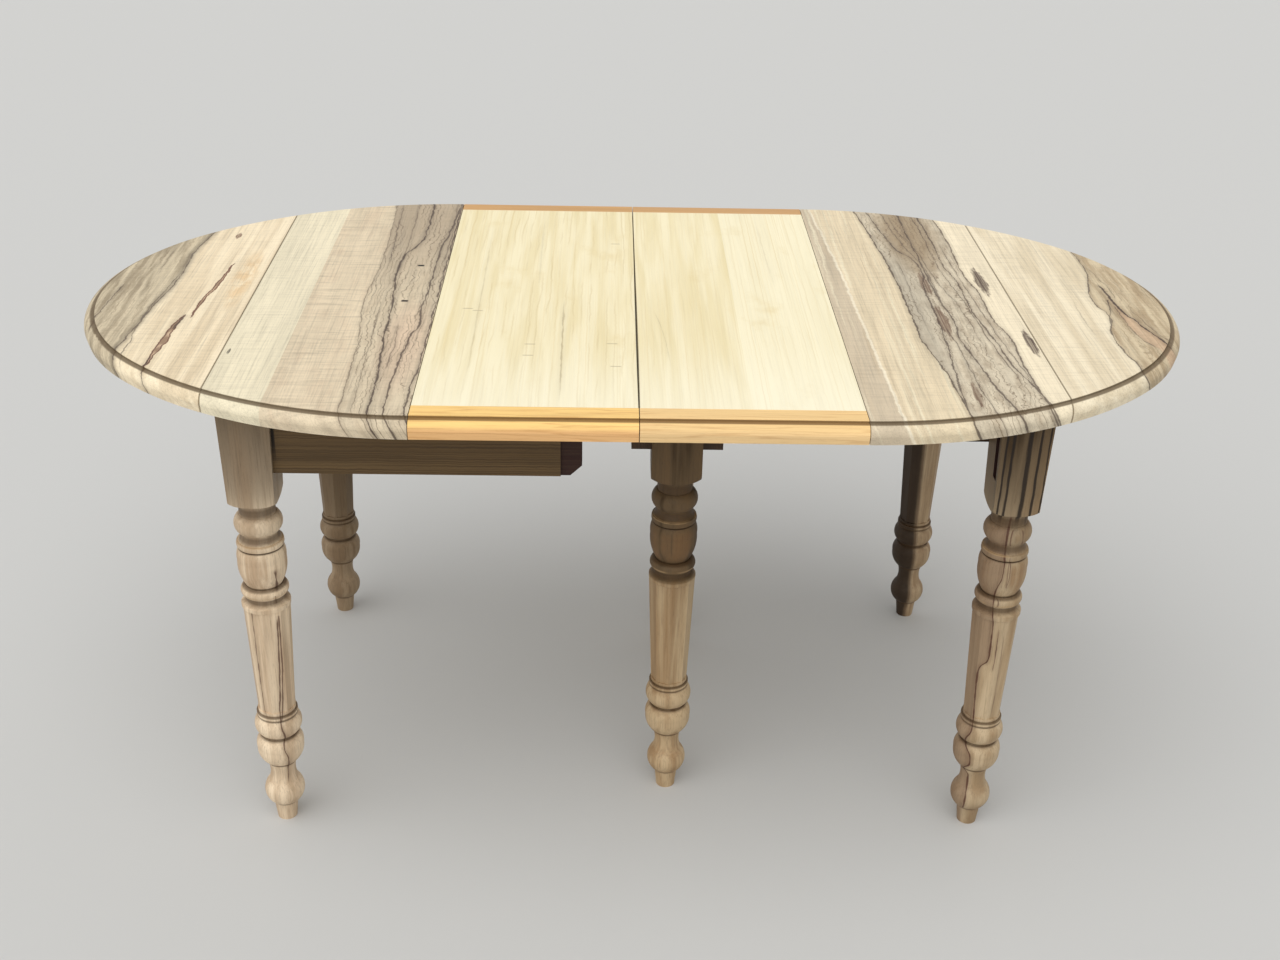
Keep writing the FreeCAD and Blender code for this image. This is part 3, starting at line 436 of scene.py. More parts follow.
def finish_top(wood, veins, seam):
    """Grain, planing ripple, veins, and dirt with painted shade in the quirk and at the seam, over a half
    top's or flap's own colours.
    """
    wood.grained()
    ripple = wood.noise((wood.x, wood.y), RIPPLE, 5, 3, 0.6)
    wood.darken(wood.span(ripple, 0.4, 0.74, -0.03, 0.1))
    wood.paint(LINE_TONE, wood.most([wood.vein(vein) for vein in veins]))
    # Dirt and painted shade in the quirk and on the top beside the flap seam
    wood.paint(DIRT_AND_SHADE_TONE, edge_dirt_and_shade(wood, [seam]))
    return wood.finish()


# The left half top: a pale board, a grey one, and dark spalted wood beside the leaf

LEFT_SPALT_EDGE = drawn((-412, 450), (-402, 287), (-398, 89), (-403, -6), (-396, -119), (-390, -184),
                        (-386, -291), (-383, -450))
LEFT_VEINS = [
    Vein(LEFT_SPALT_EDGE, 0.0012, 0.6),
    Vein(drawn((-350, 450), (-342, 301), (-353, 203), (-369, 120), (-365, 23), (-359, -66), (-357, -151),
               (-350, -260), (-346, -374), (-347, -450)), 0.0021, 0.9),
    Vein(drawn((-297, 450), (-304, 281), (-312, 173), (-312, 7), (-316, -47), (-312, -116), (-319, -166),
               (-324, -252), (-327, -373), (-322, -450)), 0.0019, 0.85),
    Vein(drawn((-296, -295), (-300, -373), (-297, -450)), 0.0017, 0.85),
    Vein(drawn((-398, 450), (-391, 260), (-383, 100)), 0.0016, 0.6, 0.2),
    Vein(drawn((-372, 450), (-366, 200), (-376, 20)), 0.0012, 0.55, 0.2),
    Vein(drawn((-347, -120), (-338, -200), (-340, -300)), 0.0012, 0.65, 0.15),
    Vein(drawn((-310, 450), (-300, 270), (-304, 100)), 0.0012, 0.6, 0.15),
    Vein(drawn((-377, -50), (-372, -200), (-366, -450)), 0.0009, 0.6, 0.1)]
PALE_BOARD_TONE = (231, 220, 191)
GREY_BOARD_TONE = (221, 204, 175)
GREY_STAIN_TONE = (206, 184, 156)
SPALT_TONE = (214, 198, 170)
REAR_SPALT_TONE = (172, 155, 132)
SPALT_REAR = (-0.12, 0.36)
PINK_SPALT_TONE = (214, 184, 158)
PINK_SPALT = Patch(-0.325, -0.2, 0.045, 0.2)
SPALT_BLOTCH_TONE = (182, 164, 138)
SPALT_LINE_TONE = (98, 82, 68)
HOLE_TONE = (30, 22, 18)
NAIL_HOLES = [(-0.335, 0.119), (-0.343, -0.035)]
NAIL_HOLE_HALF_SIDES = (0.0062, 0.0042)
LEFT_SPECK = Knot(-0.5605, -0.235, 0.003, 0.012)


def left_half_wood():
    """Three boards: pale, grey with a cross ripple, and spalted, which is darkest at the rear."""
    wood = top_wood("left_half_wood", 11)
    grey_board = wood.joint(PALE_BOARD_EDGE)
    wood.colour = wood.mix(grey_board, PALE_BOARD_TONE, GREY_BOARD_TONE)
    ripple = wood.noise((wood.x, wood.y), GREY_RIPPLE, 5.5, 3, 0.6)
    wood.darken(wood.times(wood.span(ripple, 0.48, 0.7, 0, 0.2), grey_board))
    stain = wood.span(wood.mottled(6.5, 0.5, 0.5), 0.45, 0.7, 0, 0.5)
    wood.paint(GREY_STAIN_TONE, stain, grey_board)
    dark = wood.mix(wood.span(wood.y, *SPALT_REAR, 0, 0.85), SPALT_TONE, REAR_SPALT_TONE)
    dark = wood.mix(wood.patch(PINK_SPALT, 0.5), dark, PINK_SPALT_TONE)
    dark = wood.mix(wood.span(wood.mottled(6), 0.4, 0.7, 0, 0.5), dark, SPALT_BLOTCH_TONE)
    dark = wood.mix(wood.fine_lines(0.75, 7, 130, 1.6), dark, SPALT_LINE_TONE)
    wood.paint(dark, wood.right_of(LEFT_SPALT_EDGE))
    holes = [wood.spot(place, NAIL_HOLE_HALF_SIDES) for place in NAIL_HOLES]
    wood.paint(HOLE_TONE, wood.most(holes + [wood.knot(LEFT_SPECK, 4.5)]))
    return finish_top(wood, LEFT_VEINS, -FLAP_SEAM)


LEFT_BAND = drawn((-686, 330), (-690, 251), (-698, 170), (-696, 41), (-704, -57), (-710, -154),
                  (-715, -221), (-722, -330))
LEFT_FLAP_VEINS = [
    Vein(LEFT_BAND, 0.0016, 0.75),
    Vein(drawn((-696, 100), (-703, 0), (-709, -123), (-703, -233), (-706, -300)), 0.0011, 0.7, 0.15),
    Vein(drawn((-772, 30), (-774, -46), (-779, -170)), 0.0015, 0.75, 0.15),
    Vein(drawn((-728, 200), (-733, 120), (-729, 50)), 0.001, 0.45, 0.25),
    Vein(drawn((-650, -98), (-653, -130), (-656, -160)), 0.0022, 0.75, 0.1),
    Vein(drawn((-660, -250), (-665, -310), (-669, -370)), 0.002, 0.75, 0.1)]
LEFT_SPINDLES = [
    Spindle(drawn((-626, 122), (-630, 51), (-634, 1), (-640, -50), (-641, -118)), 0.0026),
    Spindle(drawn((-650, -98), (-657, -152), (-658, -201), (-659, -243), (-664, -305)), 0.0044)]
LEFT_FLAP_TONES = ((238, 222, 191), (228, 209, 176))
LEFT_CURL = Patch(-0.597, 0.05, 0.022, 0.15)
LEFT_CURL_TONE = (223, 194, 152)
LEFT_TIP_TONES = ((208, 193, 164), (160, 145, 120))
LEFT_TIP_LINE_TONE = (140, 122, 100)
BAND_SHADE_REACH = 0.012
SPINDLE_TONES = ((208, 176, 146), (128, 92, 70))
LEFT_FLAP_KNOT = Knot(-0.646, 0.249, 0.005, 0.018)


def left_flap_wood():
    """Warm beige with two open spindles, greyer and mottled beyond a soft dark band near the tip."""
    wood = top_wood("left_flap_wood", 23)
    wood.colour = wood.mix(wood.span(wood.figure, 0.35, 0.65), *LEFT_FLAP_TONES)
    wood.paint(LEFT_CURL_TONE, wood.patch(LEFT_CURL), wood.span(wood.mottled(8), 0.35, 0.6))
    tip = wood.minus(1, wood.right_of(LEFT_BAND, WIDE_SOFTNESS))
    grey = wood.mix(wood.span(wood.mottled(9, *TIP_BLOTCHES), 0.36, 0.66), *LEFT_TIP_TONES)
    grey = wood.mix(wood.fine_lines(0.4, 10, 90, 2), grey, LEFT_TIP_LINE_TONE)
    wood.paint(grey, tip)
    wood.darken(wood.fade(wood.away(wood.from_line(LEFT_BAND)), 0, BAND_SHADE_REACH, 0.3))
    fill_tone = wood.mix(wood.span(wood.swell, 0.4, 0.6), *SPINDLE_TONES)
    reddish = [wood.knot(LEFT_FLAP_KNOT, 4)]
    for spindle in LEFT_SPINDLES:
        outline, fill = wood.spindle(spindle)
        wood.paint(fill_tone, fill, 0.8)
        reddish.append(outline)
    wood.paint(REDDISH_LINE_TONE, wood.most(reddish))
    return finish_top(wood, LEFT_FLAP_VEINS, -FLAP_SEAM)


# The right half top: grey, a cream line, streaked beige, a dark spalted band and a light strip

CREAM_LINE = drawn((308, 450), (320, 221), (326, 70), (328, -41), (333, -207), (338, -450))
BAND_LEFT = drawn((384, 450), (398, 279), (406, 122), (408, -38), (407, -156), (418, -250), (428, -450))
BAND_RIGHT = drawn((516, 450), (522, 263), (519, 117), (527, 21), (526, -77), (537, -160), (533, -246),
                   (550, -450))
RIGHT_VEINS = [
    Vein(BAND_LEFT, 0.0019, 0.85),
    Vein(BAND_RIGHT, 0.0018, 0.8),
    Vein(drawn((405, 450), (418, 320), (432, 220), (455, 130), (445, 37), (444, -54), (440, -163),
               (434, -257), (428, -351), (426, -450)), 0.0019, 0.8),
    Vein(drawn((460, -18), (466, -88), (462, -163), (468, -210), (473, -270), (479, -328),
               (503, -450)), 0.0019, 0.8),
    Vein(drawn((489, 450), (496, 262), (494, 166), (503, 67), (501, -25), (513, -169), (517, -247),
               (528, -305), (548, -450)), 0.0018, 0.8),
    Vein(drawn((441, 450), (447, 320), (461, 240), (470, 100), (487, -60),
               (492, -200)), 0.0012, 0.6, 0.15),
    Vein(drawn((418, 200), (424, 100), (421, -20), (424, -120)), 0.0011, 0.55, 0.2),
    Vein(drawn((430, 450), (440, 300), (452, 200), (463, 120), (458, -50)), 0.0011, 0.65, 0.1),
    Vein(drawn((478, 450), (486, 300), (484, 200), (496, 0), (507, -200), (520, -330)), 0.0012, 0.7, 0.1),
    Vein(drawn((447, -100), (455, -200), (456, -300), (462, -400), (470, -450)), 0.0013, 0.7, 0.1),
    Vein(drawn((505, 300), (508, 150), (512, 20), (524, -200), (538, -350)), 0.0011, 0.65, 0.15)]
BAND_KNOTS = [
    Knot(0.45, 0.065, 0.009, 0.06), Knot(0.45, -0.088, 0.01, 0.08), Knot(0.448, -0.35, 0.006, 0.05)]
STRIP_KNOTS = [Knot(0.54, 0.08, 0.011, 0.072), Knot(0.561, -0.167, 0.008, 0.056)]
RIGHT_GREY_TONE = (204, 188, 162)
RIGHT_BEIGE_TONE = (224, 207, 175)
PALE_STREAK_TONE = (238, 227, 197)
BROWN_STREAK_TONE = (194, 175, 145)
CREAM_TONE = (248, 238, 214)
CREAM_REACH = (0.0008, 0.0032)
LIGHT_STRIP_TONE = (237, 223, 194)
BAND_TONES = ((216, 203, 178), (187, 172, 148))
BLUE_STAIN = Patch(0.415, 0, 0.04, 0.4)
BLUE_STAIN_TONE = (180, 171, 152)
BROWN_STAIN = Patch(0.46, 0.3, 0.06, 0.25)
BROWN_STAIN_TONE = (142, 119, 88)
BAND_LINE_TONE = (108, 88, 68)
BAND_KNOT_TONE = (104, 74, 54)
STRIP_KNOT_TONE = (80, 60, 50)


def right_half_wood():
    """Grey beside the leaf, then streaked beige, then a dark band full of veins and knots."""
    wood = top_wood("right_half_wood", 37)
    beige = wood.right_of(CREAM_LINE, WIDE_SOFTNESS)
    wood.colour = wood.mix(beige, RIGHT_GREY_TONE, RIGHT_BEIGE_TONE)
    streaks = wood.noise(wood.flow, RIGHT_STREAKS, 12)
    wood.paint(PALE_STREAK_TONE, wood.span(streaks, 0.52, 0.66, 0, 0.7))
    wood.paint(BROWN_STREAK_TONE, wood.fade(streaks, 0.32, 0.45, 0.45))
    wood.paint(CREAM_TONE, wood.fade(wood.away(wood.from_line(CREAM_LINE)), *CREAM_REACH, 0.6))
    light_strip = wood.right_of(BAND_RIGHT)
    wood.paint(LIGHT_STRIP_TONE, light_strip)
    dark = wood.mix(wood.span(wood.mottled(13), 0.38, 0.68), *BAND_TONES)
    dark = wood.mix(wood.patch(BLUE_STAIN, 0.55), dark, BLUE_STAIN_TONE)
    dark = wood.mix(wood.patch(BROWN_STAIN, 0.75), dark, BROWN_STAIN_TONE)
    dark = wood.mix(wood.fine_lines(0.72, 14, 110, 2.4), dark, BAND_LINE_TONE)
    wood.paint(dark, wood.right_of(BAND_LEFT), wood.minus(1, light_strip))
    eyes = wood.most([wood.knot(knot, 15) for knot in BAND_KNOTS])
    wood.paint(BAND_KNOT_TONE, eyes, 0.9)
    wood.paint(STRIP_KNOT_TONE, wood.most([wood.knot(knot, 16) for knot in STRIP_KNOTS]))
    return finish_top(wood, RIGHT_VEINS, FLAP_SEAM)


RIGHT_TIP_EDGE = drawn((716, 330), (720, 228), (721, 166), (706, 66), (696, -9), (703, -53), (688, -130),
                       (687, -179), (694, -252), (688, -330))
PINK_RIGHT = drawn((722, 80), (725, 50), (726, 14), (727, -22), (732, -56), (738, -73), (743, -104),
                   (750, -129), (755, -152), (762, -185))
PINK_LEFT = drawn((722, -7), (722, -52), (722, -90), (725, -137), (733, -164), (742, -184))
RIGHT_FLAP_VEINS = [
    Vein(RIGHT_TIP_EDGE, 0.0016, 0.8),
    Vein(PINK_RIGHT, 0.0023, 0.95, 0.06),
    Vein(PINK_LEFT, 0.0013, 0.65, 0.1),
    Vein(drawn((721, 13), (709, -43), (700, -72), (696, -101)), 0.0014, 0.8, 0.05),
    Vein(drawn((722, 159), (728, 134), (732, 99), (735, 61), (733, 4)), 0.0012, 0.55, 0.15),
    Vein(drawn((748, -50), (752, -100), (771, -170)), 0.0011, 0.6, 0.2),
    Vein(drawn((668, 20), (662, -80), (664, -160)), 0.0008, 0.35, 0.3)]
RIGHT_FLAP_TONES = ((234, 221, 193), (224, 208, 177))
RIGHT_TIP_TONES = ((210, 193, 161), (174, 153, 122))
RIGHT_TIP_LINE_TONE = (132, 110, 86)
PINK_TONE = (206, 172, 140)
PINK_FADE = (-0.08, 0.02)


def right_flap_wood():
    """Pale, with a mottled tip beyond a dark line, and a pinkish stretch in it."""
    wood = top_wood("right_flap_wood", 53)
    wood.colour = wood.mix(wood.span(wood.figure, 0.35, 0.65), *RIGHT_FLAP_TONES)
    grey = wood.mix(wood.span(wood.mottled(17, *TIP_BLOTCHES), 0.36, 0.66), *RIGHT_TIP_TONES)
    grey = wood.mix(wood.fine_lines(0.45, 18, 100, 1.6), grey, RIGHT_TIP_LINE_TONE)
    between = wood.times(wood.right_of(PINK_LEFT), wood.minus(1, wood.right_of(PINK_RIGHT)))
    grey = wood.mix(wood.times(between, wood.fade(wood.y, *PINK_FADE, 0.6)), grey, PINK_TONE)
    wood.paint(grey, wood.right_of(RIGHT_TIP_EDGE))
    return finish_top(wood, RIGHT_FLAP_VEINS, FLAP_SEAM)


# The leaves: pale yellow boards with fine straight lines, and orange end strips

LEFT_LEAF_VEINS = [
    Vein(drawn((-234, 300), (-229, -300)), 0.0018, 0.2, 0.25),
    Vein(drawn((-107, 0), (-105, -200), (-103, -400)), 0.0017, 0.42, 0.25),
    Vein(drawn((-150, 410), (-147, 0)), 0.0016, 0.14, 0.3)]
RIGHT_LEAF_VEINS = [
    Vein(drawn((24, -50), (37, -140), (46, -280)), 0.001, 0.22, 0.25),
    Vein(drawn((207, 410), (215, 0)), 0.0016, 0.12, 0.3)]
LEAF_SCRATCHES = [
    (-0.247, -0.062), (-0.232, -0.07), (-0.15, -0.195), (-0.151, -0.235), (-0.03, 0.235), (-0.035, -0.19),
    (-0.03, -0.27)]
SCRATCH_HALF_SIDES = (0.009, 0.0018)
LEAF_TONES = ((246, 235, 199), (238, 223, 178))
LIGHTER_BOARD_TONE = (250, 241, 209)
LEAF_LINE_TONE = (229, 209, 158)
LEAF_RING_TONE = (214, 193, 142)
LEAF_STAIN_TONE = (226, 205, 150)
LEAF_FRONT_TONE = (255, 249, 224)
LEAF_FRONT = (-0.43, -0.15)
LEAF_MARK_TONE = (126, 104, 66)
# The gap between the leaves looks widest at one place, and painted shade beside it stands for its dark: the
# distances from there over which this painted shade narrows, and its reach from the middle at the widest and
# the narrowest
GAP_WIDEST = -0.15
GAP_RUN = (0.05, 0.4)
GAP_REACH = (0.0021, 0.0012)


def leaf_wood(side, seed, veins, scratches, ring_share, joint=None):
    """Pale straight-grained wood, with a lighter board beyond a glued joint."""
    wood = top_wood(side + "_leaf_wood", seed, 0.002)
    wood.colour = wood.mix(wood.span(wood.figure, 0.35, 0.68), *LEAF_TONES)
    if joint:
        wood.paint(LIGHTER_BOARD_TONE, wood.joint(joint), 0.75)
    lines = wood.noise(wood.flow, LEAF_LINES, seed + 9, 2)
    wood.paint(LEAF_LINE_TONE, wood.span(lines, 0.52, 0.7, 0, 0.5))
    wood.paint(LEAF_RING_TONE, wood.fine_lines(ring_share, seed + 7, 80, 0.2, 0.16, 1.6))
    stain = wood.noise((wood.x, wood.y), LEAF_STAIN, seed + 5, 4, 0.6)
    wood.paint(LEAF_STAIN_TONE, wood.span(stain, 0.55, 0.75, 0, 0.5))
    wood.paint(LEAF_FRONT_TONE, wood.fade(wood.y, *LEAF_FRONT, 0.5))
    marks = [wood.times(wood.spot(place, SCRATCH_HALF_SIDES), 0.4) for place in scratches]
    marks += [wood.vein(vein) for vein in veins]
    wood.paint(LEAF_MARK_TONE, wood.most(marks))
    wood.grained(0.05, 0.05, 0.03)
    # Painted shade of the gap between the leaves, on the boards' faces beside it
    reach = wood.span(wood.away(wood.y, GAP_WIDEST), *GAP_RUN, *GAP_REACH)
    seam = wood.fade(wood.over(wood.away(wood.x), reach), 0.55, 1, 0.9)
    wood.paint(LEAF_GAP_SHADE_TONE, seam, wood.off_cut_faces())
    return wood.finish(0.6, 0.2)


# A strip's tones on its upper face, on its nose and in its rings
BRIGHT_STRIP = ((250, 209, 132), (240, 190, 130), (204, 148, 88))
PALE_STRIP = ((243, 206, 145), (247, 210, 153), (204, 156, 102))
REAR_STRIP_TONE = (194, 148, 100)
STRIP_DIRT_AND_SHADE_TONE = (118, 84, 44)
# The heights from the top between which the nose takes its tone, and the places along Y for the rear's
NOSE_FADE = (-0.015, -0.007)
REAR_FADE = (-0.1, 0.1)
RING_COUNT = 6


def strip_wood(side, seed, tones):
    """Orange wood with its grain along the strip, another tone on its nose and a browner rear."""
    wood = Wood(side + "_strip_wood")
    wood.grow(wood.x, wood.y, wood.z, seed, 0.002)
    face, nose, dark = tones
    wood.colour = wood.mix(wood.fade(wood.minus(wood.z, TOP), *NOSE_FADE), face, nose)
    wood.paint(REAR_STRIP_TONE, wood.span(wood.y, *REAR_FADE, 0, 0.85))
    rise = wood.plus(wood.warped, wood.depth)
    height = wood.noise((rise, wood.x), STRIP_RINGS, seed + 6, 2, 0.5, 0.3)
    ring = wood.away(wood.math("FRACT", wood.times(height, RING_COUNT)), 0.5)
    wood.paint(dark, wood.fade(ring, 0, 0.2, 0.4))
    wood.paint(dark, wood.span(wood.streaks, 0.5, 0.75, 0, 0.4))
    wood.grained(0.06, 0.12, 0.1)
    # Dirt and painted shade in the strip's quirk
    wood.paint(STRIP_DIRT_AND_SHADE_TONE, edge_dirt_and_shade(wood, []))
    return wood.finish(0.58, 0.25)


# The legs

# A leg has two wood tones, the way its front faces, cracks and stripes, how much old brown finish and
# painted shade under the top lie on it as (share, height) points, and the darker left side of its first
# line, darker wood on the right front leg and painted shade on the right rear one: share, tone and softness
Leg = namedtuple("Leg", "node seed pale brown facing veins stripes patina darker", defaults=(None,))
# One tone for old brown finish and for painted shade under the top; the lists below give its share by height
FINISH_AND_SHADE_TONE = (66, 48, 24)
VASE_TONE = (150, 104, 62)
VASE_SPAN = (0.418, 0.48)
VASE_FADE = 0.015
LEFT_FINISH_AND_SHADE = [(0, 0), (0, 0.42), (0.16, 0.52), (0.64, 0.6), (0.8, 0.717)]
CENTRE_FINISH_AND_SHADE = [
    (0.08, 0), (0.15, 0.15), (0.3, 0.386), (0.84, 0.393), (0.86, 0.44), (0.88, 0.52), (0.92, 0.634)]
RIGHT_FINISH_AND_SHADE = [(0.36, 0), (0.26, 0.3), (0.36, 0.44), (0.54, 0.53), (0.8, 0.62), (0.94, 0.717)]
LEFT_REAR_FINISH_AND_SHADE = [(0.36, 0), (0.46, 0.15), (0.7, 0.24), (0.84, 0.42), (0.92, 0.6), (0.94, 0.717)]
RIGHT_REAR_FINISH_AND_SHADE = [(0.2, 0), (0.22, 0.2), (0.3, 0.4), (0.5, 0.55), (0.85, 0.717)]
LEFT_LEG_VEINS = [
    Vein(drawn((12.5, 378), (9.5, 300), (6, 240), (3, 190), (7, 165), (4, 150), (9, 125), (7, 100),
               (6, 70)), 0.0015, 0.85, 0.05),
    Vein(drawn((14.5, 378), (13.5, 300), (11, 260), (7, 210), (3, 190)), 0.0013, 0.8, 0.02),
    Vein(drawn((-22, 386), (-20.5, 290), (-17.5, 203)), 0.0011, 0.75, 0.03),
    Vein(drawn((16, 455), (16.5, 430), (15, 412)), 0.0024, 0.85, 0.2),
    Vein(drawn((13, 411), (13.5, 393)), 0.0013, 0.7, 0.1)]
RIGHT_LEG_VEINS = [
    Vein(drawn((4, 556), (1, 500), (3, 470), (-2, 440), (-5, 415), (-4, 395), (-1, 375), (-0.5, 320),
               (-6, 305), (-13, 285), (-12, 240), (-10, 190), (-17, 165), (-12, 150), (-6, 130),
               (-14, 110), (-6, 95), (-6, 60), (-8, 30)), 0.0018, 0.92, 0.02),
    Vein(drawn((7.5, 372), (8.5, 330), (5.5, 290)), 0.0012, 0.7, 0.15),
    Vein(drawn((10, 495), (9, 470), (12, 430)), 0.0012, 0.65, 0.2),
    Vein(drawn((16, 376), (16.5, 300), (13, 200)), 0.001, 0.45, 0.2),
    Vein(drawn((9.5, 532), (6.5, 518), (7, 503)), 0.0012, 0.75, 0.1),
    Vein(drawn((19, 530), (23, 516), (21, 503)), 0.0011, 0.65, 0.1),
    Vein(drawn((4, 486), (11, 476), (12, 458), (8, 436)), 0.0012, 0.75, 0.1),
    Vein(drawn((-4, 418), (2, 412), (-2, 404)), 0.0012, 0.8, 0.05)]
# Its first line also bounds the painted shade on the right rear leg's left side
RIGHT_REAR_VEINS = [
    Vein(drawn((-6, 553), (-4, 400), (-2, 200), (0, 100), (-2, 20)), 0.0012, 0.3)]
# Stripes in a block: each one's place across it and half its width, and how far they drift and fray
RIGHT_LEG_STRIPES = [
    (-0.027, 0.0016), (-0.018, 0.0022), (0.0045, 0.0036), (0.019, 0.002), (0.031, 0.0012)]
STRIPE_REACH = 0.006
STRIPE_RAGGED = 0.0035
STRIPE_TONE = (32, 22, 14)
LEGS = [
    Leg("left_front_leg", 61, (232, 211, 181), (197, 171, 140), 0.235, LEFT_LEG_VEINS, [], LEFT_FINISH_AND_SHADE),
    Leg("left_rear_leg", 67, (198, 174, 142), (156, 130, 100), 0, [], [(0.002, 0.002)], LEFT_REAR_FINISH_AND_SHADE),
    Leg("centre_leg_front", 71, (204, 179, 142), (168, 136, 98), -0.05, [], [], CENTRE_FINISH_AND_SHADE),
    Leg("centre_leg_rear", 73, (204, 179, 142), (168, 136, 98), 0, [], [], CENTRE_FINISH_AND_SHADE),
    Leg("right_front_leg", 79, (222, 198, 162), (180, 152, 116), -0.28, RIGHT_LEG_VEINS, RIGHT_LEG_STRIPES,
        RIGHT_FINISH_AND_SHADE, (0.62, (128, 102, 80), 0.003)),
    # The right rear leg's dark left side is painted shade
    Leg("right_rear_leg", 83, (204, 180, 146), (164, 136, 103), 0, RIGHT_REAR_VEINS, [(-0.005, 0.0018)],
        RIGHT_REAR_FINISH_AND_SHADE, (0.96, (46, 32, 19), 0.006))]
BLOCK_BOTTOM = 0.553
BLOCK_FADE = 0.03
# Cracks show on the front of a leg and fade out between these depths from its axis
CRACK_FADE = (-0.012, -0.004)
CRACK_TONE = (80, 47, 34)
# Grooves with grime and painted shade in them: their heights and how far it reaches
LEG_GROOVES = [
    (0.032, 0.004), (0.107, 0.004), (0.158, 0.005), (0.193, 0.003), (0.2, 0.003), (0.397, 0.008),
    (0.418, 0.004), (0.48, 0.003), (0.497, 0.009), (0.54, 0.013)]
GRIME_AND_SHADE_TONE = (72, 52, 30)
# Rims rubbed pale and given a painted highlight: their heights and how far the pale reaches
RUBBED_AND_LIT_RIMS = [(0.407, 0.0024), (0.4895, 0.0018)]
RIM_WEAR_AND_HIGHLIGHT_TONE = (182, 150, 108)
# The slot for the other half's tongue, dark inside with stain and painted shade: whose rail, half its width
# and its edge, how far inside the block's face and below the rail the dark begins, and the tongue's length
# and middle behind the rail's face
TONGUE_SLOTS = {"right_front_leg": "left_side_rail", "left_rear_leg": "right_side_rail"}
SLOT_HALF = 0.0085
SLOT_EDGE = 0.0002
SLOT_DEEP = 0.0008
SLOT_FLOOR = (-0.0018, -0.0014)
TONGUE_LENGTH = 0.029
TONGUE_MIDDLE = 0.0105
STAIN_AND_SHADE_TONE = (46, 22, 16)


def leg_wood(leg):
    """Turned wood with its own cracks on the front, dark stripes in the block, old finish and painted shade
    under the top, grime and painted shade in the grooves, and pale rims, rubbed and with a painted
    highlight.
    """
    wood = Wood(leg.node + "_wood")
    low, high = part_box(leg.node)
    from_x = wood.minus(wood.x, (low.x + high.x) / 2)
    from_y = wood.minus(wood.y, (low.y + high.y) / 2)
    cosine, sine = math.cos(leg.facing), math.sin(leg.facing)
    across = wood.plus(wood.times(from_x, cosine), wood.times(from_y, sine))
    depth = wood.minus(wood.times(from_y, cosine), wood.times(from_x, sine))
    wood.grow(wood.z, across, depth, leg.seed, 0.0014)
    wood.colour = wood.mix(wood.span(wood.figure, 0.34, 0.66), leg.pale, leg.brown)
    wood.paint(leg.brown, wood.span(wood.streaks, 0.5, 0.74, 0, 0.5))
    patchy = wood.span(wood.figure, 0.3, 0.7, 1.15, 0.85)
    # Old brown finish and painted shade under the top, laid on by height
    wood.paint(FINISH_AND_SHADE_TONE, wood.traced(leg.patina), patchy)
    vase_low, vase_high = VASE_SPAN
    over_ring = wood.span(wood.z, vase_low, vase_low + VASE_FADE)
    under_neck = wood.fade(wood.z, vase_high - VASE_FADE, vase_high)
    wood.paint(VASE_TONE, over_ring, under_neck, wood.span(wood.figure, 0.4, 0.6, 0.03, 0.2))
    in_block = wood.span(wood.z, BLOCK_BOTTOM - BLOCK_FADE, BLOCK_BOTTOM)
    if leg.stripes:
        wood.paint(STRIPE_TONE, block_stripes(wood, leg, from_x), in_block)
    # The darker left side of the first line: darker wood on the right front leg, painted shade on the right
    # rear one
    if leg.darker:
        share, tone, softness = leg.darker
        beyond = wood.minus(1, wood.right_of(leg.veins[0].points, softness))
        wood.paint(tone, beyond, wood.minus(1, in_block), share)
    if leg.veins:
        cracks = wood.most([wood.vein(vein) for vein in leg.veins])
        wood.paint(CRACK_TONE, cracks, wood.fade(depth, *CRACK_FADE))
    # Grime and painted shade in the grooves
    wood.paint(GRIME_AND_SHADE_TONE, wood.bands(wood.z, LEG_GROOVES, 0.2, 1, 0.72))
    # Rims rubbed pale, with a painted highlight
    rims = wood.bands(wood.z, RUBBED_AND_LIT_RIMS, 0.3, 1, 0.5)
    wood.paint(RIM_WEAR_AND_HIGHLIGHT_TONE, rims, wood.span(wood.swell, 0.3, 0.6))
    wood.grained(0.2, 0.2, 0.1)
    # Stain and painted shade inside the tongue's slot
    if leg.node in TONGUE_SLOTS:
        wood.paint(STAIN_AND_SHADE_TONE, slot_stain_and_shade(wood, leg.node))
    return wood.finish(0.62, 0.35)


def block_stripes(wood, leg, from_x):
    """The dark upright stripes of a leg's block, with ragged edges."""
    drift = wood.noise((wood.z,), STRIPE_DRIFT, leg.seed, 2)
    ragged = wood.noise((from_x, wood.z), STRIPE_EDGE, leg.seed, 3, 0.6)
    moved = wood.shifted(wood.shifted(from_x, drift, STRIPE_REACH), ragged, STRIPE_RAGGED)
    return wood.bands(moved, leg.stripes, 0.5, 1.2, 0.93)


def inner_face(leg):
    """How far a leg's inner face is from the table's middle, and the leg's side: -1 or 1."""
    low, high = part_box(leg)
    side = 1 if low.x > 0 else -1
    return min(abs(low.x), abs(high.x)), side


def slot_stain_and_shade(wood, leg):
    """Where a leg is dark with stain and painted shade inside the slot for the other half's tongue."""
    rail_low, rail_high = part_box(TONGUE_SLOTS[leg])
    middle = rail_low.y + TONGUE_MIDDLE if rail_low.y < 0 else rail_high.y - TONGUE_MIDDLE
    beside = wood.fade(wood.away(wood.y, middle), SLOT_HALF, SLOT_HALF + SLOT_EDGE)
    above = wood.span(wood.minus(wood.z, rail_low.z), *SLOT_FLOOR)
    face, side = inner_face(leg)
    inside = wood.span(wood.minus(wood.times(wood.x, side), face), SLOT_DEEP, 2 * SLOT_DEEP)
    return wood.times(wood.times(beside, above), inside)


# Rails, slides, pegs and iron

PLAIN_ROUGHNESS = 0.62
DARK_ROUGHNESS = 0.55
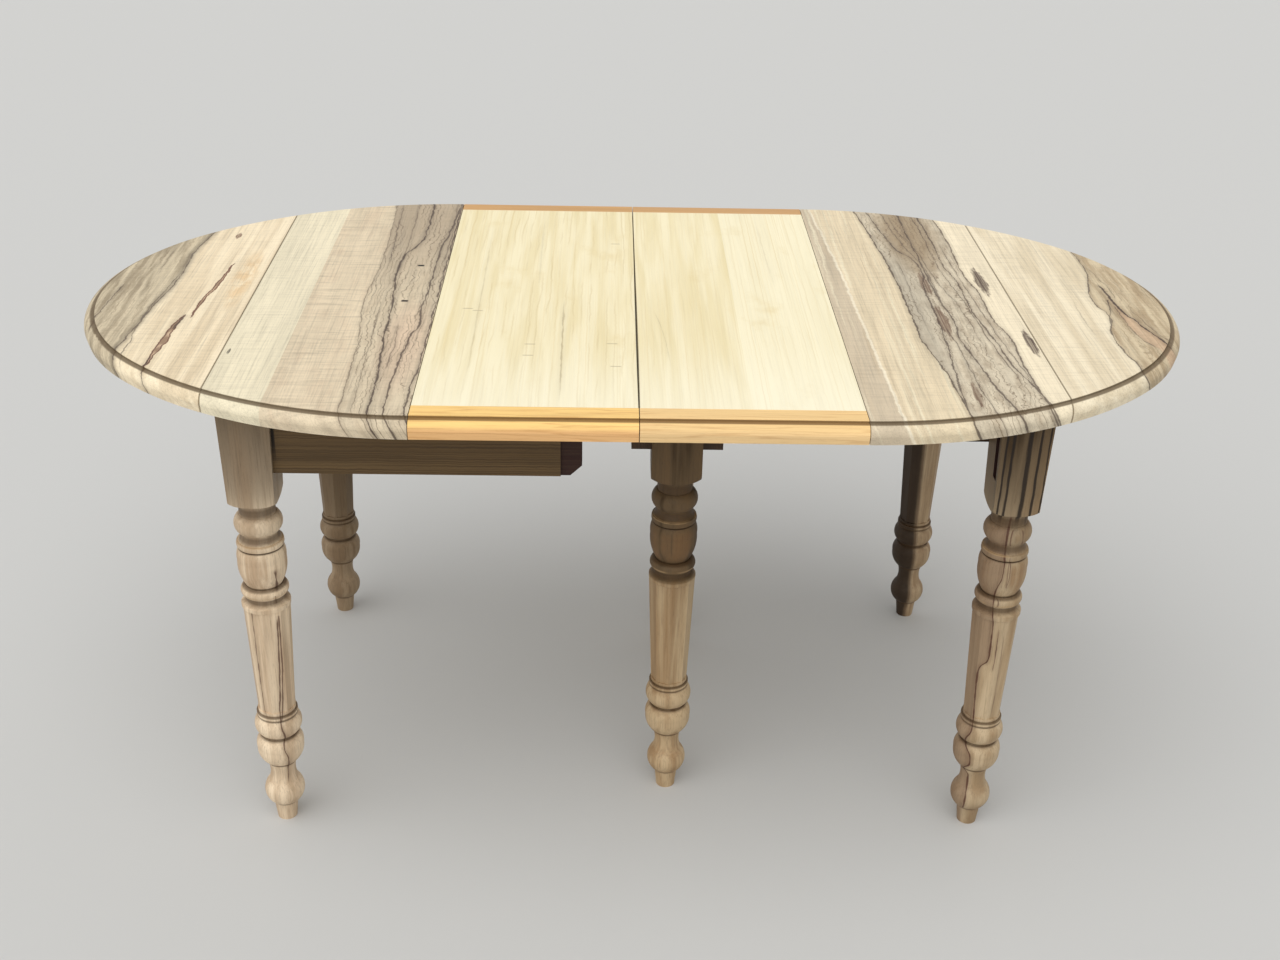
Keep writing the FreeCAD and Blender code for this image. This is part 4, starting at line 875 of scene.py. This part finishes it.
# Rail tones darker than their wood, as painted shade under the top
SHADE_DARKENED_RAIL_TONES = ((108, 86, 55), (65, 48, 26))
DARK_TONES = ((74, 53, 36), (44, 30, 20))
BATTEN_TONES = ((206, 178, 132), (170, 138, 96))
PEG_TONES = ((160, 122, 82), (118, 84, 52))


def plain_wood(name, axis, seed, pale, dark):
    """Straight-grained wood of two tones, with its grain along one axis."""
    wood = Wood(name)
    along, across, depth = {
        "x": (wood.x, wood.z, wood.y),
        "y": (wood.y, wood.x, wood.z),
    }[axis]
    wood.grow(along, across, depth, seed, 0.003)
    lines = wood.noise(wood.flow, PLAIN_LINES, seed + 5, 2)
    wood.colour = wood.mix(wood.span(wood.figure, 0.36, 0.66, 0.2, 0.5), pale, dark)
    wood.paint(dark, wood.span(lines, 0.45, 0.62, 0, 0.7))
    wood.grained(0.14, 0.16, 0.08)
    return wood


# A side rail's painted shadow under the top, the painted shade in the gap at its leg, fading along the rail
# and coming in up it, and the end of the stain from the tongue's shoulder
SHADOW_DROP = 0.1
SHADOW_TONE = (82, 62, 41)
LEG_GAP_SHADE = (0.002, 0.0042)
LEG_GAP_SHADE_RISE = (0.01, 0.05)
GAP_SHADE_TONE = (24, 17, 11)
SHOULDER_STAIN = (0.0001, 0.0004)


def side_rail_wood(rail, leg):
    """A brown side rail, with painted shadow under the top and painted shade in the gap at its leg, and red
    stain on its tongue and sawn end.
    """
    wood = plain_wood(rail + "_wood", "x", 91, *SHADE_DARKENED_RAIL_TONES)
    # Painted shadow under the top
    wood.paint(SHADOW_TONE, wood.span(wood.z, UNDERSIDE - SHADOW_DROP, UNDERSIDE, 0, 0.45))
    low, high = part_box(rail)
    leg_face, side = inner_face(leg)
    outward = wood.times(wood.x, side)
    up_rail = wood.span(wood.minus(wood.z, low.z), *LEG_GAP_SHADE_RISE)
    # Painted shade in the gap between the rail and its leg
    wood.paint(GAP_SHADE_TONE, wood.fade(wood.minus(leg_face, outward), *LEG_GAP_SHADE, 0.95), up_rail)
    shoulder = min(side * low.x, side * high.x) + TONGUE_LENGTH
    stained = wood.fade(wood.minus(outward, shoulder), *SHOULDER_STAIN)
    wood.paint(STAIN_AND_SHADE_TONE, stained, wood.span(wood.streaks, 0.4, 0.7, 1, 0.85))
    return wood.finish(PLAIN_ROUGHNESS)


IRON_TONE = (74, 70, 66)
RUST_TONE = (98, 62, 42)
RUST_LEVELS = (0.45, 0.68)


def iron():
    """Dark hinge iron with brown rust in patches."""
    metal = Wood("hinge_iron")
    place = (metal.x, metal.y, metal.z)
    metal.grow(*place, 97)
    rust = metal.noise(place, RUST, 3, 5, 0.65)
    metal.colour = metal.mix(metal.span(rust, *RUST_LEVELS), IRON_TONE, RUST_TONE)
    metal.darken(metal.span(metal.noise(place, SPECKLE, 4, 2), 0.45, 0.75, 0, 0.4))
    metal.put(metal.surface.inputs["Metallic"], metal.span(rust, *RUST_LEVELS, 0.85, 0.15))
    return metal.finish(0.55, 0.3)


def dress(metal):
    """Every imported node's material, by its name."""
    dark = plain_wood("dark_wood", "x", 113, *DARK_TONES).finish(DARK_ROUGHNESS)
    plank = plain_wood("plank_wood", "y", 127, *DARK_TONES).finish(DARK_ROUGHNESS)
    batten = plain_wood("batten_wood", "x", 131, *BATTEN_TONES).finish(PLAIN_ROUGHNESS)
    peg = plain_wood("peg_wood", "x", 137, *PEG_TONES).finish(PLAIN_ROUGHNESS)
    materials = {
        "left_top_board_*": left_half_wood(),
        "right_top_board_*": right_half_wood(),
        "left_flap_board_*": left_flap_wood(),
        "right_flap_board_*": right_flap_wood(),
        "left_leaf_board_*": leaf_wood("left", 101, LEFT_LEAF_VEINS, LEAF_SCRATCHES, 0.4),
        "right_leaf_board_*": leaf_wood("right", 103, RIGHT_LEAF_VEINS, [], 0.15, RIGHT_LEAF_JOINT),
        "left_leaf_strip_*": strip_wood("left", 107, BRIGHT_STRIP),
        "right_leaf_strip_*": strip_wood("right", 109, PALE_STRIP),
        "left_side_rail": side_rail_wood("left_side_rail", "left_front_leg"),
        "right_side_rail": side_rail_wood("right_side_rail", "right_rear_leg"),
        "*_end_rail": plain_wood("end_rail_wood", "y", 93, *SHADE_DARKENED_RAIL_TONES).finish(PLAIN_ROUGHNESS),
        "*_slide": dark,
        "centre_bar_*": dark,
        "*_bearer": plank,
        "*_loper_guide": plank,
        "centre_plank": plank,
        "*_leaf_battens": batten,
        "*_loper": batten,
        "*_loper_peg": peg,
        "stop_pegs": peg,
        "*_hinge_*": metal}
    for leg in LEGS:
        materials[leg.node] = leg_wood(leg)
    for pattern, material in materials.items():
        for node in fnmatch.filter(frame["nodes"], pattern):
            slots = frame["nodes"][node].data.materials
            slots.clear()
            slots.append(material)


# Screws

# A slotted screw head: its radius, how deep it sits, the heights of its rim and crown, the crown's share of
# the radius, half the slot's width, the sides of half its rim, and the turn from one slot to the next
HEAD_RADIUS = 0.0038
HEAD_SEAT = 0.0004
HEAD_RIM = 0.0003
HEAD_CROWN = 0.0008
CROWN_SHARE = 0.5
SLOT_HALF_WIDTH = 0.0005
HALF_HEAD_SIDES = 12
SLOT_TURN = 0.9


def half_head(mesh, place, turn):
    """One half of a slotted head seen from below: a domed half disc that stands on the slot's floor."""
    flat = math.asin(SLOT_HALF_WIDTH / HEAD_RADIUS)
    rim = []
    for step in range(HALF_HEAD_SIDES + 1):
        angle = flat + (math.pi - 2 * flat) * step / HALF_HEAD_SIDES
        rim.append((HEAD_RADIUS * math.cos(angle), HEAD_RADIUS * math.sin(angle)))
    crown = [(CROWN_SHARE * across, max(CROWN_SHARE * along, SLOT_HALF_WIDTH)) for across, along in rim]
    rings = []
    for outline, drop in ((rim, -HEAD_SEAT), (rim, HEAD_RIM), (crown, HEAD_CROWN)):
        ring = []
        for across, along in outline:
            turned = Vector((across, along, -drop))
            turned.rotate(turn)
            ring.append(mesh.verts.new(place + turned))
        rings.append(ring)
    count = len(rim)
    for lower, upper in zip(rings, rings[1:]):
        for index in range(count):
            following = (index + 1) % count
            mesh.faces.new((lower[index], upper[index], upper[following], lower[following]))
    mesh.faces.new(rings[-1])
    mesh.faces.new(tuple(reversed(rings[0])))


def screw_heads(body, places, metal):
    """Slotted heads on one body's undersides, each with its slot turned its own way."""
    name = body + "_screws"
    mesh = bmesh.new()
    for index, place in enumerate(places):
        slot_turn = Matrix.Rotation(SLOT_TURN * index, 3, "Z")
        half_head(mesh, Vector(place), slot_turn)
        half_head(mesh, Vector(place), slot_turn @ Matrix.Rotation(math.pi, 3, "Z"))
    bmesh.ops.recalc_face_normals(mesh, faces=mesh.faces)
    data = bpy.data.meshes.new(name)
    mesh.to_mesh(data)
    mesh.free()
    data.materials.append(metal)
    heads = bpy.data.objects.new(name, data)
    bpy.context.scene.collection.objects.link(heads)
    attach(heads, body)


# Where screws sit: along a hinge plate, across it from the flap seam, and in battens and plank
PLATE_MIDDLE = 0.195
PLATE_SPREAD = 0.021
TOP_PLATE_ROW = 0.0095
FLAP_PLATE_ROWS = (0.013, 0.029, 0.013)
BATTEN_MIDDLE = 0.08
BATTEN_SPREAD = 0.1
PLANK_SPREAD = 0.045


def fit_screws(metal):
    """Screws in the hinge plates, the leaf battens and the centre plank."""
    spreads = (-PLATE_SPREAD, 0, PLATE_SPREAD)
    middles = (-PLATE_MIDDLE, PLATE_MIDDLE)
    for side, facing in (("left", -1), ("right", 1)):
        top_row = facing * (FLAP_SEAM - TOP_PLATE_ROW)
        on_top = [(top_row, middle + spread, UNDERSIDE) for middle in middles for spread in spreads]
        screw_heads(f"{side}_half", on_top, metal)
        on_flap = []
        for middle in middles:
            for row, spread in zip(FLAP_PLATE_ROWS, spreads):
                on_flap.append((facing * (FLAP_SEAM + row), middle + spread, UNDERSIDE))
        screw_heads(f"{side}_flap", on_flap, metal)
        low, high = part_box(f"{side}_leaf_battens")
        centre = (low.x + high.x) / 2
        on_leaf = []
        for batten in (-BATTEN_MIDDLE, BATTEN_MIDDLE):
            for spread in (-BATTEN_SPREAD, 0, BATTEN_SPREAD):
                on_leaf.append((centre + spread, batten, low.z))
        screw_heads(f"{side}_leaf", on_leaf, metal)
    plank_low, plank_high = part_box("centre_plank")
    centre = (plank_low.x + plank_high.x) / 2
    on_plank = []
    for bar in ("centre_bar_front", "centre_bar_rear"):
        bar_low, bar_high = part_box(bar)
        for spread in (-PLANK_SPREAD, 0, PLANK_SPREAD):
            on_plank.append((centre + spread, (bar_low.y + bar_high.y) / 2, plank_low.z))
    screw_heads("carriage", on_plank, metal)


# Stage

def make_camera():
    """The camera at the photograph's place, turned by its yaw, pitch and roll."""
    forward = Vector((
        math.sin(CAMERA_YAW) * math.cos(CAMERA_PITCH),
        math.cos(CAMERA_YAW) * math.cos(CAMERA_PITCH),
        -math.sin(CAMERA_PITCH)))
    level = Vector((math.cos(CAMERA_YAW), -math.sin(CAMERA_YAW), 0))
    upright = level.cross(forward)
    right = math.cos(CAMERA_ROLL) * level + math.sin(CAMERA_ROLL) * upright
    up = math.cos(CAMERA_ROLL) * upright - math.sin(CAMERA_ROLL) * level
    data = bpy.data.cameras.new("camera")
    data.sensor_width = SENSOR_WIDTH
    data.lens = SENSOR_WIDTH * FOCAL_PIXELS / FRAME_WIDTH
    camera = bpy.data.objects.new("camera", data)
    turn = Matrix((right, up, -forward)).transposed().to_4x4()
    camera.matrix_world = Matrix.Translation(CAMERA_PLACE) @ turn
    bpy.context.scene.collection.objects.link(camera)
    bpy.context.scene.camera = camera


def make_light():
    """An even sky that looks pale from the camera, and one wide soft lamp from the front left."""
    world = bpy.data.worlds.new("sky")
    bpy.context.scene.world = world
    world.use_nodes = True
    tree = world.node_tree
    sky = tree.nodes["Background"]
    sky.inputs["Color"].default_value = SKY_COLOUR
    path = tree.nodes.new("ShaderNodeLightPath")
    seen = path.outputs["Is Camera Ray"]
    for kind in ("Is Glossy Ray", "Is Transmission Ray"):
        either = tree.nodes.new("ShaderNodeMath")
        either.operation = "MAXIMUM"
        tree.links.new(seen, either.inputs[0])
        tree.links.new(path.outputs[kind], either.inputs[1])
        seen = either.outputs[0]
    strength = tree.nodes.new("ShaderNodeMapRange")
    tree.links.new(seen, strength.inputs["Value"])
    strength.inputs["To Min"].default_value = SKY_STRENGTH
    strength.inputs["To Max"].default_value = BACKGROUND_STRENGTH
    tree.links.new(strength.outputs[0], sky.inputs["Strength"])
    data = bpy.data.lights.new("soft_lamp", "SUN")
    data.energy = LAMP_STRENGTH
    data.angle = LAMP_SPREAD
    lamp = bpy.data.objects.new("soft_lamp", data)
    lamp.rotation_euler = (-Vector(LAMP_DIRECTION)).to_track_quat("-Z", "Y").to_euler()
    bpy.context.scene.collection.objects.link(lamp)


def make_floor():
    """A plain pale floor."""
    mesh = bpy.data.meshes.new("floor")
    reach = FLOOR_REACH
    corners = [(-reach, -reach, 0), (reach, -reach, 0), (reach, reach, 0), (-reach, reach, 0)]
    mesh.from_pydata(corners, [], [(0, 1, 2, 3)])
    floor = bpy.data.objects.new("floor", mesh)
    bpy.context.scene.collection.objects.link(floor)
    material = bpy.data.materials.new("floor")
    material.use_nodes = True
    surface = material.node_tree.nodes["Principled BSDF"]
    surface.inputs["Base Color"].default_value = linear(FLOOR_TONE)
    surface.inputs["Roughness"].default_value = FLOOR_ROUGHNESS
    mesh.materials.append(material)


hinge_iron = iron()
dress(hinge_iron)
fit_screws(hinge_iron)
make_camera()
make_light()
make_floor()
bpy.context.scene.view_settings.view_transform = "Standard"
